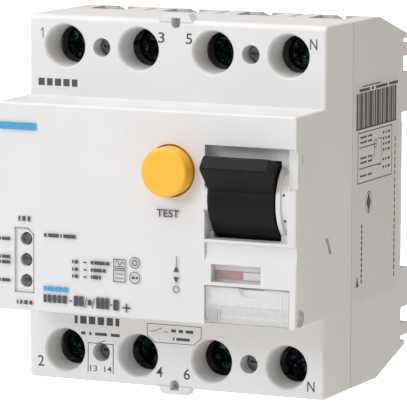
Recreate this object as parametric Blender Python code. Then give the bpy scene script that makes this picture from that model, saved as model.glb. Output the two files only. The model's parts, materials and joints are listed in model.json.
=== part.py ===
"""Residual current device, four poles in four modules, for a 35 mm mounting rail.

Metres, +Z up. X runs to the right, the front faces -Y and the wall is at +Y. The origin is the
middle of the face that seats on the rail, so a depth d in front of the rail lies at y = -d.
"""
import math

import bmesh
import bpy
from mathutils import Matrix, Vector

MM = 0.001

# Driving sizes of the module standard.
MODULE = 17.5 * MM
POLES = 4
HEIGHT = 80.0 * MM
FRONT_HEIGHT = 45.0 * MM
TERMINAL_DEPTH = 44.0 * MM
FRONT_DEPTH = 60.0 * MM
SEAM_DEPTH = 29.0 * MM
RAIL_HEIGHT = 35.0 * MM
BACK_DEPTH = 5.0 * MM
SEAT_RELIEF = 2.1 * MM
WALL = 1.8 * MM
PARTITION = 1.4 * MM
DIVIDER = 1.5 * MM
GAP = 0.3 * MM

WIDTH = POLES * MODULE
HALF_WIDTH = WIDTH / 2
HALF_HEIGHT = HEIGHT / 2
BASE_HALF_HEIGHT = HALF_HEIGHT - GAP
HALF_FRONT = FRONT_HEIGHT / 2
INNER_X = HALF_WIDTH - WALL
FRONT_Y = -FRONT_DEPTH
TERMINAL_Y = -TERMINAL_DEPTH
SEAM_Y = -SEAM_DEPTH
FLOOR_Y = -2.0 * MM
CHAMBER_Z = HALF_FRONT - WALL
OVER = 1.0 * MM

# Terminals: a lift clamp at each end of each pole.
TERMINAL_INSET = 6.7 * MM
TERMINAL_Z = HALF_HEIGHT - TERMINAL_INSET
BAY_LOW_Z = HALF_FRONT + DIVIDER
BAY_HIGH_Z = HALF_HEIGHT - 2.0 * MM
BAY_HALF_X = (MODULE - PARTITION) / 2
WELL_R = 4.5 * MM
WELL_DEEP_R = 3.9 * MM
WELL_DEPTH = 6.0 * MM
WELL_BOSS_R = 5.3 * MM
HEAD_DEPTH = 8.0 * MM
HEAD_R = 3.6 * MM
HEAD_LENGTH = 2.8 * MM
THREAD_R = 2.5 * MM
BAR_Y = -24.0 * MM
BAR_THICK = 1.5 * MM
BAR_HALF_X = 3.8 * MM
CAGE_WALL = 1.4 * MM
CAGE_FRONT_WALL = 2.0 * MM
CAGE_BACK_WALL = 1.6 * MM
CAGE_HALF_Z = 4.1 * MM
WIRE_SPACE = 7.0 * MM
CASE_SCREW_X = MODULE
CASE_WELL_R = 2.0 * MM
CASE_POST_R = 2.6 * MM
CASE_SCREW_R = 1.2 * MM
CASE_HEAD_R = 1.7 * MM

HEAD_Y = TERMINAL_Y + HEAD_DEPTH
HEAD_BACK_Y = HEAD_Y + HEAD_LENGTH
CAGE_HALF_X = BAR_HALF_X + GAP + CAGE_WALL
CAGE_BACK_Y = BAR_Y + BAR_THICK + WIRE_SPACE + CAGE_BACK_WALL
CAGE_FRONT_Y = BAR_Y - 0.9 * MM - CAGE_FRONT_WALL

# Contacts and current transformer.
LINE_CONTACT_Z = 17.5 * MM
LOAD_CONTACT_Z = 8.0 * MM
CONTACT_EDGE = 2.4 * MM
RIVET_R = 2.2 * MM
RIVET_HEIGHT = 1.0 * MM
BRIDGE_HALF_X = 3.0 * MM
BRIDGE_THICK = 1.2 * MM
CARRIER_Z = (LINE_CONTACT_Z + LOAD_CONTACT_Z) / 2
CARRIER_HALF_Z = 3.5 * MM
CARRIER_THICK = 3.4 * MM
POST_HALF_X = 4.6 * MM
POST_HALF_Z = 1.9 * MM
RING_Y = -13.0 * MM
RING_LOW_Z = -13.2 * MM
RING_HIGH_Z = -3.8 * MM
RING_OUT_R = 10.0 * MM
RING_IN_R = 6.0 * MM
COIL_WALL = 0.6 * MM
LEAD_R = 1.5 * MM
LEAD_OFFSET = 2.4 * MM

# Toggle, its link and the position flag.
TOGGLE_X = HALF_WIDTH - 12.35 * MM
TOGGLE_WIDTH = 14.9 * MM
TOGGLE_Z = 4.2 * MM
TOGGLE_Y = FRONT_Y + 9.0 * MM
DRUM_R = 9.6 * MM
TOGGLE_TRAVEL = math.radians(60)
OPENING_LOW_Z = -4.3 * MM
OPENING_HIGH_Z = 15.65 * MM
OPENING_DEPTH = 4.5 * MM
LEDGE_Z = TOGGLE_Z + 8.5 * MM
NOTCH_DEPTH = 0.8 * MM
RECESS_DEPTH = 3.0 * MM
RIM_R = 9.4 * MM
RIM_WIDTH = 1.0 * MM
STRIP_R = 8.9 * MM
STRIP_WIDTH = 1.6 * MM
PIVOT_R = 1.5 * MM
CRANK_R = 6.0 * MM
CRANK_REST = math.radians(30)
PEG_R = 1.0 * MM
PEG_PLAY = 0.7 * MM
WEB_THICK = 1.5 * MM
LINK_THICK = 1.5 * MM
CHEEK = 1.5 * MM
PIN_END_X = HALF_WIDTH - 2.4 * MM
FLAG_R = 5.6 * MM
FLAG_Y = FRONT_Y + 9.3 * MM
FLAG_Z = -12.3 * MM
FLAG_LEFT = TOGGLE_X - 7.4 * MM
FLAG_WIDTH = 6.8 * MM
FLAG_AXLE_R = 1.2 * MM
WINDOW_LOW_Z = -13.35 * MM
WINDOW_HIGH_Z = -9.5 * MM
WINDOW_LEFT = TOGGLE_X - 7.05 * MM
WINDOW_WIDTH = 11.4 * MM

# Trip relay's plunger and the latch lever that it lifts.
LATCH_PIVOT_Y = FRONT_Y + 22.0 * MM
LATCH_PIVOT_Z = -1.0 * MM
LATCH_PIN_R = 1.0 * MM
PLUNGER_Y = LATCH_PIVOT_Y - 4.5 * MM
PLUNGER_R = 1.0 * MM
TRIP_TOP_Z = -9.0 * MM

# Test button, board and lamps, set out from the front's left or right edge.
BUTTON_X = HALF_WIDTH - 28.8 * MM
BUTTON_Z = 9.7 * MM
BUTTON_R = 5.3 * MM
BUTTON_RISE = 3.7 * MM
STEM_R = 2.5 * MM
BOARD_Y = FRONT_Y + 14.4 * MM
BOARD_THICK = 1.6 * MM
LAMP_X = -HALF_WIDTH + 7.2 * MM
LAMP_Z = (-6.9 * MM, -11.45 * MM, -16.0 * MM)
LAMP_R = 1.1 * MM

# Hinged label cover.
COVER_LEFT = TOGGLE_X - 8.55 * MM
COVER_RIGHT = HALF_WIDTH - 1.4 * MM
COVER_HIGH_Z = -14.0 * MM
COVER_AXIS_Y = FRONT_Y + 2.0 * MM
COVER_AXIS_Z = -20.5 * MM
COVER_BARREL_R = 1.7 * MM
COVER_SHEET = 0.9 * MM
POCKET_DEPTH = 2.0 * MM

# Rail latches.
LATCH_HALF_X = 14.7 * MM
LATCH_FLANGE = 2.3 * MM
RAIL_THICK = 1.0 * MM
LATCH_BITE = 1.8 * MM

WHITE = (0.80, 0.80, 0.78)
COPPER = (0.72, 0.40, 0.22)
STEEL = (0.62, 0.64, 0.66)


def clear_scene():
    for leftover in list(bpy.data.objects):
        bpy.data.objects.remove(leftover)


def solid(name, bm):
    bmesh.ops.recalc_face_normals(bm, faces=bm.faces)
    mesh = bpy.data.meshes.new(name)
    bm.to_mesh(mesh)
    bm.free()
    made = bpy.data.objects.new(name, mesh)
    bpy.context.scene.collection.objects.link(made)
    return made


def block(low, high, name="block"):
    """Box from its lowest corner to its highest."""
    low, high = Vector(low), Vector(high)
    bm = bmesh.new()
    size = Matrix.Diagonal((*(high - low), 1))
    bmesh.ops.create_cube(bm, size=1, matrix=Matrix.Translation((low + high) / 2) @ size)
    return solid(name, bm)


def rod(start, end, radius, end_radius=None, sides=24, name="rod"):
    """Round rod or cone between two points."""
    start, end = Vector(start), Vector(end)
    along = end - start
    turn = along.to_track_quat("Z", "Y").to_matrix().to_4x4()
    bm = bmesh.new()
    bmesh.ops.create_cone(
        bm, cap_ends=True, segments=sides, radius1=radius, depth=along.length,
        radius2=radius if end_radius is None else end_radius,
        matrix=Matrix.Translation((start + end) / 2) @ turn)
    return solid(name, bm)


def plate(outline, axis, start, end, name="plate"):
    """Outline extruded along one axis; its points are given along the other two, in X, Y, Z order."""
    place = {
        "X": lambda a, b: (start, a, b),
        "Y": lambda a, b: (a, start, b),
        "Z": lambda a, b: (a, b, start),
    }[axis]
    shift = {"X": (end - start, 0, 0), "Y": (0, end - start, 0), "Z": (0, 0, end - start)}[axis]
    bm = bmesh.new()
    face = bm.faces.new([bm.verts.new(place(a, b)) for a, b in outline])
    made = bmesh.ops.extrude_face_region(bm, geom=[face])
    moved = [item for item in made["geom"] if isinstance(item, bmesh.types.BMVert)]
    bmesh.ops.translate(bm, verts=moved, vec=shift)
    return solid(name, bm)


def arc(centre, radius, first, last, steps):
    """Points on an arc about a centre, angles in radians."""
    angles = [first + (last - first) * step / steps for step in range(steps + 1)]
    return [(centre[0] + radius * math.cos(a), centre[1] + radius * math.sin(a)) for a in angles]


def combine(target, tool, operation):
    modifier = target.modifiers.new(operation, "BOOLEAN")
    modifier.operation = operation
    modifier.object = tool
    bpy.context.view_layer.update()
    shaped = target.evaluated_get(bpy.context.evaluated_depsgraph_get())
    mesh = bpy.data.meshes.new_from_object(shaped)
    target.modifiers.clear()
    target.data = mesh
    bpy.data.objects.remove(tool)


def cut(target, *tools):
    for tool in tools:
        combine(target, tool, "DIFFERENCE")
    return target


def join(target, *tools):
    for tool in tools:
        combine(target, tool, "UNION")
    return target


def soften(target, width, keep):
    """Round the long outer edges, all but those that keep(edge) holds sharp."""
    bm = bmesh.new()
    bm.from_mesh(target.data)
    edges = [edge for edge in bm.edges if not keep(edge)]
    bmesh.ops.bevel(bm, geom=edges, offset=width, offset_type="OFFSET", segments=2, profile=0.5,
                    affect="EDGES", material=-1)
    bm.to_mesh(target.data)
    bm.free()
    return target


def coil(name, start, end, radius, wire, turns):
    """Helical spring between two points, as a round wire."""
    start, end = Vector(start), Vector(end)
    turn = (end - start).to_track_quat("Z", "Y")
    per_turn = 10
    curve = bpy.data.curves.new(name, "CURVE")
    curve.dimensions = "3D"
    curve.bevel_depth = wire
    curve.bevel_resolution = 0
    curve.use_fill_caps = True
    spline = curve.splines.new("POLY")
    count = int(turns * per_turn)
    spline.points.add(count)
    for step in range(count + 1):
        angle = math.tau * step / per_turn
        offset = turn @ Vector((radius * math.cos(angle), radius * math.sin(angle), 0))
        spline.points[step].co = (*(start.lerp(end, step / count) + offset), 1)
    made = bpy.data.objects.new(name, curve)
    bpy.context.scene.collection.objects.link(made)
    return made


def finish(made, name, colour, roughness=0.5, metallic=0.0, origin=None):
    """Name a piece, give it its own material and, if it moves, put its origin on its joint."""
    made.name = name
    material = bpy.data.materials.new(name)
    material.use_nodes = True
    shader = material.node_tree.nodes["Principled BSDF"]
    shader.inputs["Base Color"].default_value = (*colour, 1)
    shader.inputs["Roughness"].default_value = roughness
    shader.inputs["Metallic"].default_value = metallic
    made.data.materials.clear()
    made.data.materials.append(material)
    if origin is not None:
        made.data.transform(Matrix.Translation(-Vector(origin)))
        made.location = origin
    if made.type == "MESH":
        made.data.shade_smooth()
        made.data.set_sharp_from_angle(angle=math.radians(35))
    return made


def pole_x(pole):
    return (pole - (POLES - 1) / 2) * MODULE


def terminals():
    """Each terminal's number, its side (+1 top, -1 bottom) and its place on X."""
    for side in (1, -1):
        for pole in range(POLES):
            yield pole + 1, side, pole_x(pole)


def case_screw_places():
    return [(x, z) for z in (TERMINAL_Z, -TERMINAL_Z) for x in (-CASE_SCREW_X, CASE_SCREW_X)]


def z_block(x_low, x_high, y_low, y_high, z_low, z_high, side=1):
    """Box whose Z range is mirrored to the bottom where side is -1."""
    low, high = sorted((side * z_low, side * z_high))
    return block((x_low, y_low, low), (x_high, y_high, high))


def toggle_left():
    return TOGGLE_X - TOGGLE_WIDTH / 2


def toggle_right():
    return TOGGLE_X + TOGGLE_WIDTH / 2


# ---------------------------------------------------------------- housing

def rear_profile():
    """Side outline of the base, top half, from the seam to the rail seat."""
    slope_start = -14.0 * MM
    slope = 4.75 / 16.2
    lip = BASE_HALF_HEIGHT - slope * (3.0 * MM - slope_start)
    rail = RAIL_HEIGHT / 2
    shallow = 0.4 * MM
    return [
        (SEAM_Y, BASE_HALF_HEIGHT), (slope_start, BASE_HALF_HEIGHT), (3.0 * MM, lip),
        (3.0 * MM, lip - 0.9 * MM), (shallow, lip - 0.9 * MM), (shallow, rail + 15.1 * MM),
        (BACK_DEPTH, rail + 15.1 * MM), (BACK_DEPTH, rail + 12.4 * MM), (shallow, rail + 12.4 * MM),
        (shallow, rail + 8.7 * MM), (BACK_DEPTH, rail + 8.7 * MM), (BACK_DEPTH, rail), (-GAP, rail),
        (-GAP, rail - SEAT_RELIEF), (0, rail - SEAT_RELIEF)]


def make_rear_base():
    upper = rear_profile()
    outline = upper + [(y, -z) for y, z in reversed(upper)]
    base = plate(outline, "X", -HALF_WIDTH, HALF_WIDTH)
    cut(base, block((-INNER_X, SEAM_Y - OVER, -HALF_FRONT), (INNER_X, FLOOR_Y, HALF_FRONT)))
    for _, side, x in terminals():
        sloped = [(SEAM_Y - OVER, BAY_LOW_Z), (SEAM_Y - OVER, BAY_HIGH_Z), (-14.5 * MM, BAY_HIGH_Z),
                  (FLOOR_Y, BAY_HIGH_Z - 3.7 * MM), (FLOOR_Y, BAY_LOW_Z)]
        cut(base, plate([(y, side * z) for y, z in sloped], "X", x - BAY_HALF_X, x + BAY_HALF_X))
    for x, z in case_screw_places():
        join(base, rod((x, FLOOR_Y - GAP, z), (x, SEAM_Y, z), CASE_POST_R, sides=16))
        cut(base, rod((x, SEAM_Y - OVER, z), (x, -12 * MM, z), CASE_SCREW_R + GAP, sides=16))
    for _, side, x in terminals():
        cut(base,
            z_block(x - BAR_HALF_X - GAP, x + BAR_HALF_X + GAP, BAR_Y - GAP,
                    BAR_Y + BAR_THICK + GAP, HALF_FRONT - OVER, BAY_LOW_Z + OVER, side),
            z_block(x - 4.4 * MM, x + 4.4 * MM, BAR_Y + BAR_THICK - GAP,
                    BAR_Y + BAR_THICK + WIRE_SPACE + GAP, BAY_HIGH_Z - OVER, HALF_HEIGHT + OVER, side),
            z_block(x - 1.3 * MM, x + 1.3 * MM, BAR_Y + BAR_THICK + WIRE_SPACE, 1.0 * MM,
                    BASE_HALF_HEIGHT - 1.1 * MM, HALF_HEIGHT + OVER, side))
    for edge in range(1, POLES):
        for side in (1, -1):
            x = edge * MODULE - HALF_WIDTH
            cut(base, z_block(x - 0.7 * MM, x + 0.7 * MM, -22 * MM, 1.0 * MM,
                              BASE_HALF_HEIGHT - 1.1 * MM, HALF_HEIGHT + OVER, side))
    for side in (1, -1):
        half = LATCH_HALF_X + GAP
        wide = half + LATCH_FLANGE
        rail = RAIL_HEIGHT / 2
        cut(base,
            z_block(-half, half, 0, BACK_DEPTH + OVER, rail - OVER, HALF_HEIGHT, side),
            z_block(-wide, wide, RAIL_THICK, 3.1 * MM, rail - OVER, HALF_HEIGHT, side))
    return finish(base, "rear_base", WHITE, 0.55)


def open_toggle_chamber(cover):
    """The drum's round chamber, its front opening, and the recess with a round rim beside the drum."""
    left, right = toggle_left() - GAP, toggle_right() + GAP
    recess_right = right + RIM_WIDTH + STRIP_WIDTH
    recess = [(COVER_LEFT, OPENING_LOW_Z), (recess_right, OPENING_LOW_Z),
              (recess_right, OPENING_HIGH_Z), (COVER_LEFT, OPENING_HIGH_Z)]
    notch = [(recess_right - OVER, 6.5 * MM), (HALF_WIDTH + OVER, 7.5 * MM),
             (HALF_WIDTH + OVER, 14.2 * MM), (HALF_WIDTH - 0.8 * MM, OPENING_HIGH_Z),
             (recess_right - OVER, OPENING_HIGH_Z)]
    drum = (TOGGLE_Y, TOGGLE_Z)
    flag_left, flag_right = FLAG_LEFT - GAP, FLAG_LEFT + FLAG_WIDTH + GAP
    cut(cover,
        block((left, TOGGLE_Y, -CHAMBER_Z), (right, TERMINAL_Y + OVER, CHAMBER_Z)),
        rod((left, *drum), (right, *drum), DRUM_R + 0.5 * MM, sides=48),
        block((left, FRONT_Y - OVER, OPENING_LOW_Z), (right, FRONT_Y + OPENING_DEPTH, LEDGE_Z)),
        plate(recess, "Y", FRONT_Y - OVER, FRONT_Y + RECESS_DEPTH),
        plate(notch, "Y", FRONT_Y - OVER, FRONT_Y + NOTCH_DEPTH),
        rod((flag_left, FLAG_Y, FLAG_Z), (flag_right, FLAG_Y, FLAG_Z), FLAG_R + GAP, sides=32),
        block((flag_left, FLAG_Y, FLAG_Z - FLAG_R - GAP),
              (flag_right, TOGGLE_Y + OVER, FLAG_Z + FLAG_R + GAP)))
    inset = 0.05 * MM
    join(cover, rod((COVER_LEFT - GAP, *drum), (left - inset, *drum), RIM_R, sides=64),
         rod((right + inset, *drum), (right + RIM_WIDTH, *drum), RIM_R, sides=64),
         rod((right + 0.5 * RIM_WIDTH, *drum), (recess_right + GAP, *drum), STRIP_R, sides=64))
    scoop = [(FRONT_Y - OVER, -4.9 * MM), (FRONT_Y + 0.6 * MM, -4.9 * MM), (FRONT_Y + 0.6 * MM, -7.6 * MM),
             (FRONT_Y, -9.2 * MM), (FRONT_Y - OVER, -9.2 * MM)]
    cut(cover, plate(scoop, "X", COVER_LEFT, HALF_WIDTH + OVER))
    dimple_x = right + RIM_WIDTH + 0.6 * MM
    for z in (5.9 * MM, 0.4 * MM):
        cut(cover, rod((dimple_x, FRONT_Y - OVER, z), (dimple_x, FRONT_Y + 2.2 * MM, z), 0.35 * MM,
                       sides=10))
    inner_left = toggle_left() - GAP - CHEEK
    for y, z, radius in ((TOGGLE_Y, TOGGLE_Z, PIVOT_R), (FLAG_Y, FLAG_Z, FLAG_AXLE_R)):
        cut(cover, rod((inner_left - OVER, y, z), (PIN_END_X + GAP, y, z), radius + GAP, sides=16))


def open_front(cover):
    """Window, label pocket, button hole, lamp holes and their frame."""
    window = [(WINDOW_LEFT, WINDOW_LOW_Z), (WINDOW_LEFT + WINDOW_WIDTH, WINDOW_LOW_Z),
              (WINDOW_LEFT + WINDOW_WIDTH, WINDOW_HIGH_Z), (WINDOW_LEFT, WINDOW_HIGH_Z)]
    cut(cover, plate(window, "Y", FRONT_Y - OVER, FRONT_Y + 2.4 * MM))
    cut(cover, block((FLAG_LEFT - GAP, FRONT_Y + 2.0 * MM, WINDOW_LOW_Z + 0.25 * MM),
                     (FLAG_LEFT + FLAG_WIDTH, FLAG_Y, WINDOW_HIGH_Z - 1.5 * MM)))
    for z in (WINDOW_LOW_Z + 0.25 * MM, WINDOW_HIGH_Z - 1.8 * MM):
        cut(cover, block((FLAG_LEFT + FLAG_WIDTH - GAP, FRONT_Y + 2.0 * MM, z),
                         (WINDOW_LEFT + WINDOW_WIDTH - GAP, FRONT_Y + 3.4 * MM, z + GAP)))
    low = -HALF_FRONT - OVER
    axis = (COVER_AXIS_Y, COVER_AXIS_Z)
    cut(cover,
        block((COVER_LEFT, FRONT_Y - OVER, low), (COVER_RIGHT, FRONT_Y + POCKET_DEPTH, COVER_HIGH_Z)),
        rod((COVER_LEFT, *axis), (COVER_RIGHT, *axis), COVER_BARREL_R + 0.35 * MM, sides=24),
        rod((COVER_LEFT - 2 * MM, *axis), (HALF_WIDTH + OVER, *axis), 1.5 * MM, sides=16),
        rod((HALF_WIDTH - 0.9 * MM, COVER_AXIS_Y + 0.6 * MM, COVER_AXIS_Z + 0.4 * MM),
            (HALF_WIDTH + OVER, COVER_AXIS_Y + 0.6 * MM, COVER_AXIS_Z + 0.4 * MM), 2.0 * MM, sides=24))
    cut(cover, rod((BUTTON_X, FRONT_Y - OVER, BUTTON_Z), (BUTTON_X, FRONT_Y + WALL + OVER, BUTTON_Z),
                   BUTTON_R + GAP, sides=32))
    well_back = FRONT_Y + 9.8 * MM
    sleeve_r = BUTTON_R + GAP + 1.2 * MM
    sleeve = rod((BUTTON_X, FRONT_Y + 1.0 * MM, BUTTON_Z), (BUTTON_X, well_back, BUTTON_Z),
                 sleeve_r + 1.1 * MM, sides=32)
    cut(sleeve, rod((BUTTON_X, FRONT_Y, BUTTON_Z), (BUTTON_X, well_back - 1.4 * MM, BUTTON_Z), sleeve_r,
                    sides=32))
    cut(sleeve, rod((BUTTON_X, FRONT_Y, BUTTON_Z), (BUTTON_X, well_back + OVER, BUTTON_Z),
                    STEM_R + GAP, sides=20))
    cut(sleeve, block((BUTTON_X - 9 * MM, FRONT_Y, -CHAMBER_Z),
                      (BUTTON_X + 9 * MM, FRONT_Y + WALL - 0.4 * MM, CHAMBER_Z)))
    join(cover, sleeve)
    for z in LAMP_Z:
        cut(cover, rod((LAMP_X, FRONT_Y - OVER, z), (LAMP_X, FRONT_Y + WALL + OVER, z), LAMP_R + GAP,
                       sides=20))
    frame_low, frame_high = LAMP_Z[-1] - 2.6 * MM, LAMP_Z[0] + 2.5 * MM
    frame = [(LAMP_X - 2.7 * MM, frame_low), (LAMP_X + 2.1 * MM, frame_low),
             (LAMP_X + 2.1 * MM, frame_high - 1.4 * MM), (LAMP_X + 0.7 * MM, frame_high),
             (LAMP_X - 2.7 * MM, frame_high)]
    cut(cover, plate(frame, "Y", FRONT_Y - OVER, FRONT_Y + 0.3 * MM))


def add_tabs(cover):
    """The slotted lug at the middle of the top and bottom edges."""
    for side in (1, -1):
        base_z, tip_z = HALF_HEIGHT - 0.5 * MM, HALF_HEIGHT + 1.3 * MM
        lug = [(-3.9 * MM, side * base_z), (3.9 * MM, side * base_z), (2.9 * MM, side * tip_z),
               (-2.9 * MM, side * tip_z)]
        join(cover, plate(lug, "Y", TERMINAL_Y + 0.05 * MM, TERMINAL_Y + 3.2 * MM))
        centre = (0, HALF_HEIGHT - 0.85 * MM)
        slot = arc(centre, 1.05 * MM, math.pi, math.tau, 8)
        slot += [(1.05 * MM, HALF_HEIGHT + 0.4 * MM), (-1.05 * MM, HALF_HEIGHT + 0.4 * MM)]
        cut(cover, plate([(x, side * z) for x, z in slot], "Y", TERMINAL_Y - OVER, TERMINAL_Y + 1.2 * MM))


def make_front_cover():
    outline = [(SEAM_Y, HALF_HEIGHT), (TERMINAL_Y, HALF_HEIGHT), (TERMINAL_Y, HALF_FRONT),
               (FRONT_Y, HALF_FRONT), (FRONT_Y, -HALF_FRONT), (TERMINAL_Y, -HALF_FRONT),
               (TERMINAL_Y, -HALF_HEIGHT), (SEAM_Y, -HALF_HEIGHT)]
    cover = plate(outline, "X", -HALF_WIDTH, HALF_WIDTH)
    at_seam = SEAM_Y - 0.1 * MM
    soften(cover, 0.5 * MM, lambda edge: all(vert.co.y > at_seam for vert in edge.verts))
    cheek_left = toggle_left() - GAP - CHEEK
    seam = SEAM_Y - GAP
    cut(cover, block((-HALF_WIDTH - OVER, seam, -HALF_HEIGHT - OVER),
                     (HALF_WIDTH + OVER, SEAM_Y + OVER, HALF_HEIGHT + OVER)))
    cut(cover, block((-INNER_X, TERMINAL_Y, -CHAMBER_Z), (INNER_X, SEAM_Y + OVER, CHAMBER_Z)),
        block((-INNER_X, FRONT_Y + WALL, -CHAMBER_Z), (cheek_left, TERMINAL_Y + OVER, CHAMBER_Z)))
    for _, side, x in terminals():
        cut(cover, z_block(x - BAY_HALF_X, x + BAY_HALF_X, TERMINAL_Y + WALL, SEAM_Y + OVER,
                           BAY_LOW_Z, BAY_HIGH_Z, side))
    for _, side, x in terminals():
        z = side * TERMINAL_Z
        join(cover, rod((x, TERMINAL_Y + 0.5 * MM, z), (x, TERMINAL_Y + WELL_DEPTH, z), WELL_BOSS_R))
    for x, z in case_screw_places():
        join(cover, rod((x, TERMINAL_Y + 0.5 * MM, z), (x, seam, z), CASE_POST_R, sides=16))
        cut(cover, rod((x, TERMINAL_Y - OVER, z), (x, TERMINAL_Y + 5.5 * MM, z), CASE_WELL_R, sides=16),
            rod((x, TERMINAL_Y, z), (x, SEAM_Y + OVER, z), CASE_SCREW_R + GAP, sides=16))
    for _, side, x in terminals():
        z = side * TERMINAL_Z
        rim = 0.4 * MM
        cut(cover, rod((x, TERMINAL_Y - rim, z), (x, TERMINAL_Y + WELL_DEPTH + rim, z), WELL_R,
                       WELL_DEEP_R),
            rod((x, TERMINAL_Y - rim, z), (x, TERMINAL_Y + rim, z), WELL_R + 2 * rim, WELL_R))
    open_toggle_chamber(cover)
    open_front(cover)
    add_tabs(cover)
    join(cover, block((cheek_left, TERMINAL_Y - OVER, -5 * MM),
                      (cheek_left + CHEEK, TERMINAL_Y + 9 * MM, 5 * MM)))
    cut(cover, rod((cheek_left - OVER, LATCH_PIVOT_Y, LATCH_PIVOT_Z),
                   (cheek_left + CHEEK + OVER, LATCH_PIVOT_Y, LATCH_PIVOT_Z),
                   LATCH_PIN_R + GAP, sides=16))
    hook = [(TERMINAL_Y - 0.4 * MM, -4.9 * MM), (TERMINAL_Y + 1.5 * MM, -5.0 * MM),
            (TERMINAL_Y + 3.4 * MM, -7.6 * MM), (TERMINAL_Y + 3.6 * MM, -8.9 * MM),
            (TERMINAL_Y + 2.1 * MM, -8.4 * MM), (TERMINAL_Y + 1.2 * MM, -6.6 * MM)]
    cut(cover, plate(hook, "X", INNER_X - OVER, HALF_WIDTH + OVER))
    cut(cover, block((HALF_WIDTH - 0.6 * MM, FRONT_Y + 3.1 * MM, 12.4 * MM),
                     (HALF_WIDTH + OVER, FRONT_Y + 3.6 * MM, 14.2 * MM)))
    return finish(cover, "front_cover", WHITE, 0.5)


def make_rail_latches():
    rail = RAIL_HEIGHT / 2
    y_low = RAIL_THICK + GAP
    for side, name in ((1, "rail_latch_upper"), (-1, "rail_latch_lower")):
        tip = rail - LATCH_BITE
        body = z_block(-LATCH_HALF_X, LATCH_HALF_X, y_low, BACK_DEPTH - 0.2 * MM, tip,
                       HALF_HEIGHT - 2.6 * MM, side)
        join(body, z_block(-LATCH_HALF_X - LATCH_FLANGE, LATCH_HALF_X + LATCH_FLANGE, y_low, 2.8 * MM,
                           rail + GAP, HALF_HEIGHT - 8.0 * MM, side))
        cut(body, z_block(-4 * MM, 4 * MM, 0, BACK_DEPTH + OVER, HALF_HEIGHT - 6.5 * MM,
                          HALF_HEIGHT - 4.5 * MM, side))
        for x in (-8 * MM, 8 * MM):
            cut(body, z_block(x - 2.2 * MM, x + 2.2 * MM, 2.9 * MM, BACK_DEPTH + OVER, rail + 2 * MM,
                              rail + 12 * MM, side))
        finish(body, name, WHITE, 0.5, origin=(0, y_low, side * tip))


# ---------------------------------------------------------------- terminals and contacts

def make_terminal_screw(name, x, z):
    screw = rod((x, HEAD_Y, z), (x, HEAD_BACK_Y, z), HEAD_R)
    join(screw, rod((x, HEAD_BACK_Y - GAP, z), (x, BAR_Y - GAP, z), THREAD_R, sides=16))
    reach, half = 2.1 * MM, 0.55 * MM
    depth = HEAD_Y + 1.6 * MM
    cut(screw, block((x - reach, HEAD_Y - OVER, z - half), (x + reach, depth, z + half)),
        block((x - half, HEAD_Y - OVER, z - reach), (x + half, depth, z + reach)))
    finish(screw, name, STEEL, 0.3, 1.0, origin=(x, HEAD_Y, z))


def make_clamp_cage(name, x, z):
    cage = block((x - CAGE_HALF_X, CAGE_FRONT_Y, z - CAGE_HALF_Z),
                 (x + CAGE_HALF_X, CAGE_BACK_Y, z + CAGE_HALF_Z))
    inner = CAGE_HALF_X - CAGE_WALL
    cut(cage, block((x - inner, CAGE_FRONT_Y + CAGE_FRONT_WALL, z - CAGE_HALF_Z - OVER),
                    (x + inner, CAGE_BACK_Y - CAGE_BACK_WALL, z + CAGE_HALF_Z + OVER)))
    cut(cage, rod((x, CAGE_FRONT_Y - OVER, z), (x, CAGE_FRONT_Y + CAGE_FRONT_WALL + OVER, z),
                  THREAD_R + GAP, sides=16))
    finish(cage, name, STEEL, 0.35, 1.0, origin=(x, CAGE_FRONT_Y, z))


def contact_strip(x, z_low, z_high, contact_z):
    """Flat copper strip with a contact rivet on its front."""
    strip = block((x - BAR_HALF_X, BAR_Y, z_low), (x + BAR_HALF_X, BAR_Y + BAR_THICK, z_high))
    join(strip, rod((x, BAR_Y + GAP, contact_z), (x, BAR_Y - RIVET_HEIGHT, contact_z), RIVET_R, sides=16))
    return strip


def lead_points(pole):
    """Route of one pole's lead from its load contact through the ring to its lower terminal."""
    x = pole_x(pole)
    toward = 1 if x > 0 else -1
    strip_y = BAR_Y + BAR_THICK / 2
    hole_x = toward * LEAD_OFFSET
    outer = abs(x) > MODULE
    hole_y = RING_Y + (LEAD_OFFSET if outer else -LEAD_OFFSET)
    top_z, bottom_z = LOAD_CONTACT_Z - CONTACT_EDGE + 1.0 * MM, -HALF_FRONT + 1.1 * MM
    upper_z, lower_z = RING_HIGH_Z + 4.3 * MM, RING_LOW_Z - 3.2 * MM
    turn_x = x - toward * 5.0 * MM if outer else (x + hole_x) / 2
    turn_y = hole_y if outer else hole_y - 2.0 * MM
    return [
        (x, strip_y, top_z), (x, strip_y + 0.6 * MM, top_z - 3.0 * MM), (turn_x, turn_y, upper_z),
        (hole_x + toward * 2.0 * MM, hole_y, upper_z - 0.8 * MM), (hole_x, hole_y, RING_HIGH_Z),
        (hole_x, hole_y, RING_LOW_Z), (hole_x + toward * 2.0 * MM, hole_y, lower_z + 0.8 * MM),
        (turn_x, turn_y, lower_z), (x, strip_y + 0.6 * MM, bottom_z + 2.4 * MM), (x, strip_y, bottom_z)]


def smooth_route(points, per_span):
    """Catmull-Rom points through a short route."""
    route = [Vector(point) for point in points]
    padded = [route[0] * 2 - route[1], *route, route[-1] * 2 - route[-2]]
    smooth = []
    for index in range(1, len(padded) - 2):
        before, start, end, after = padded[index - 1:index + 3]
        for step in range(per_span):
            t = step / per_span
            smooth.append(0.5 * (2 * start + (end - before) * t
                                 + (2 * before - 5 * start + 4 * end - after) * t * t
                                 + (3 * start - before - 3 * end + after) * t ** 3))
    return [*smooth, route[-1]]


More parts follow.
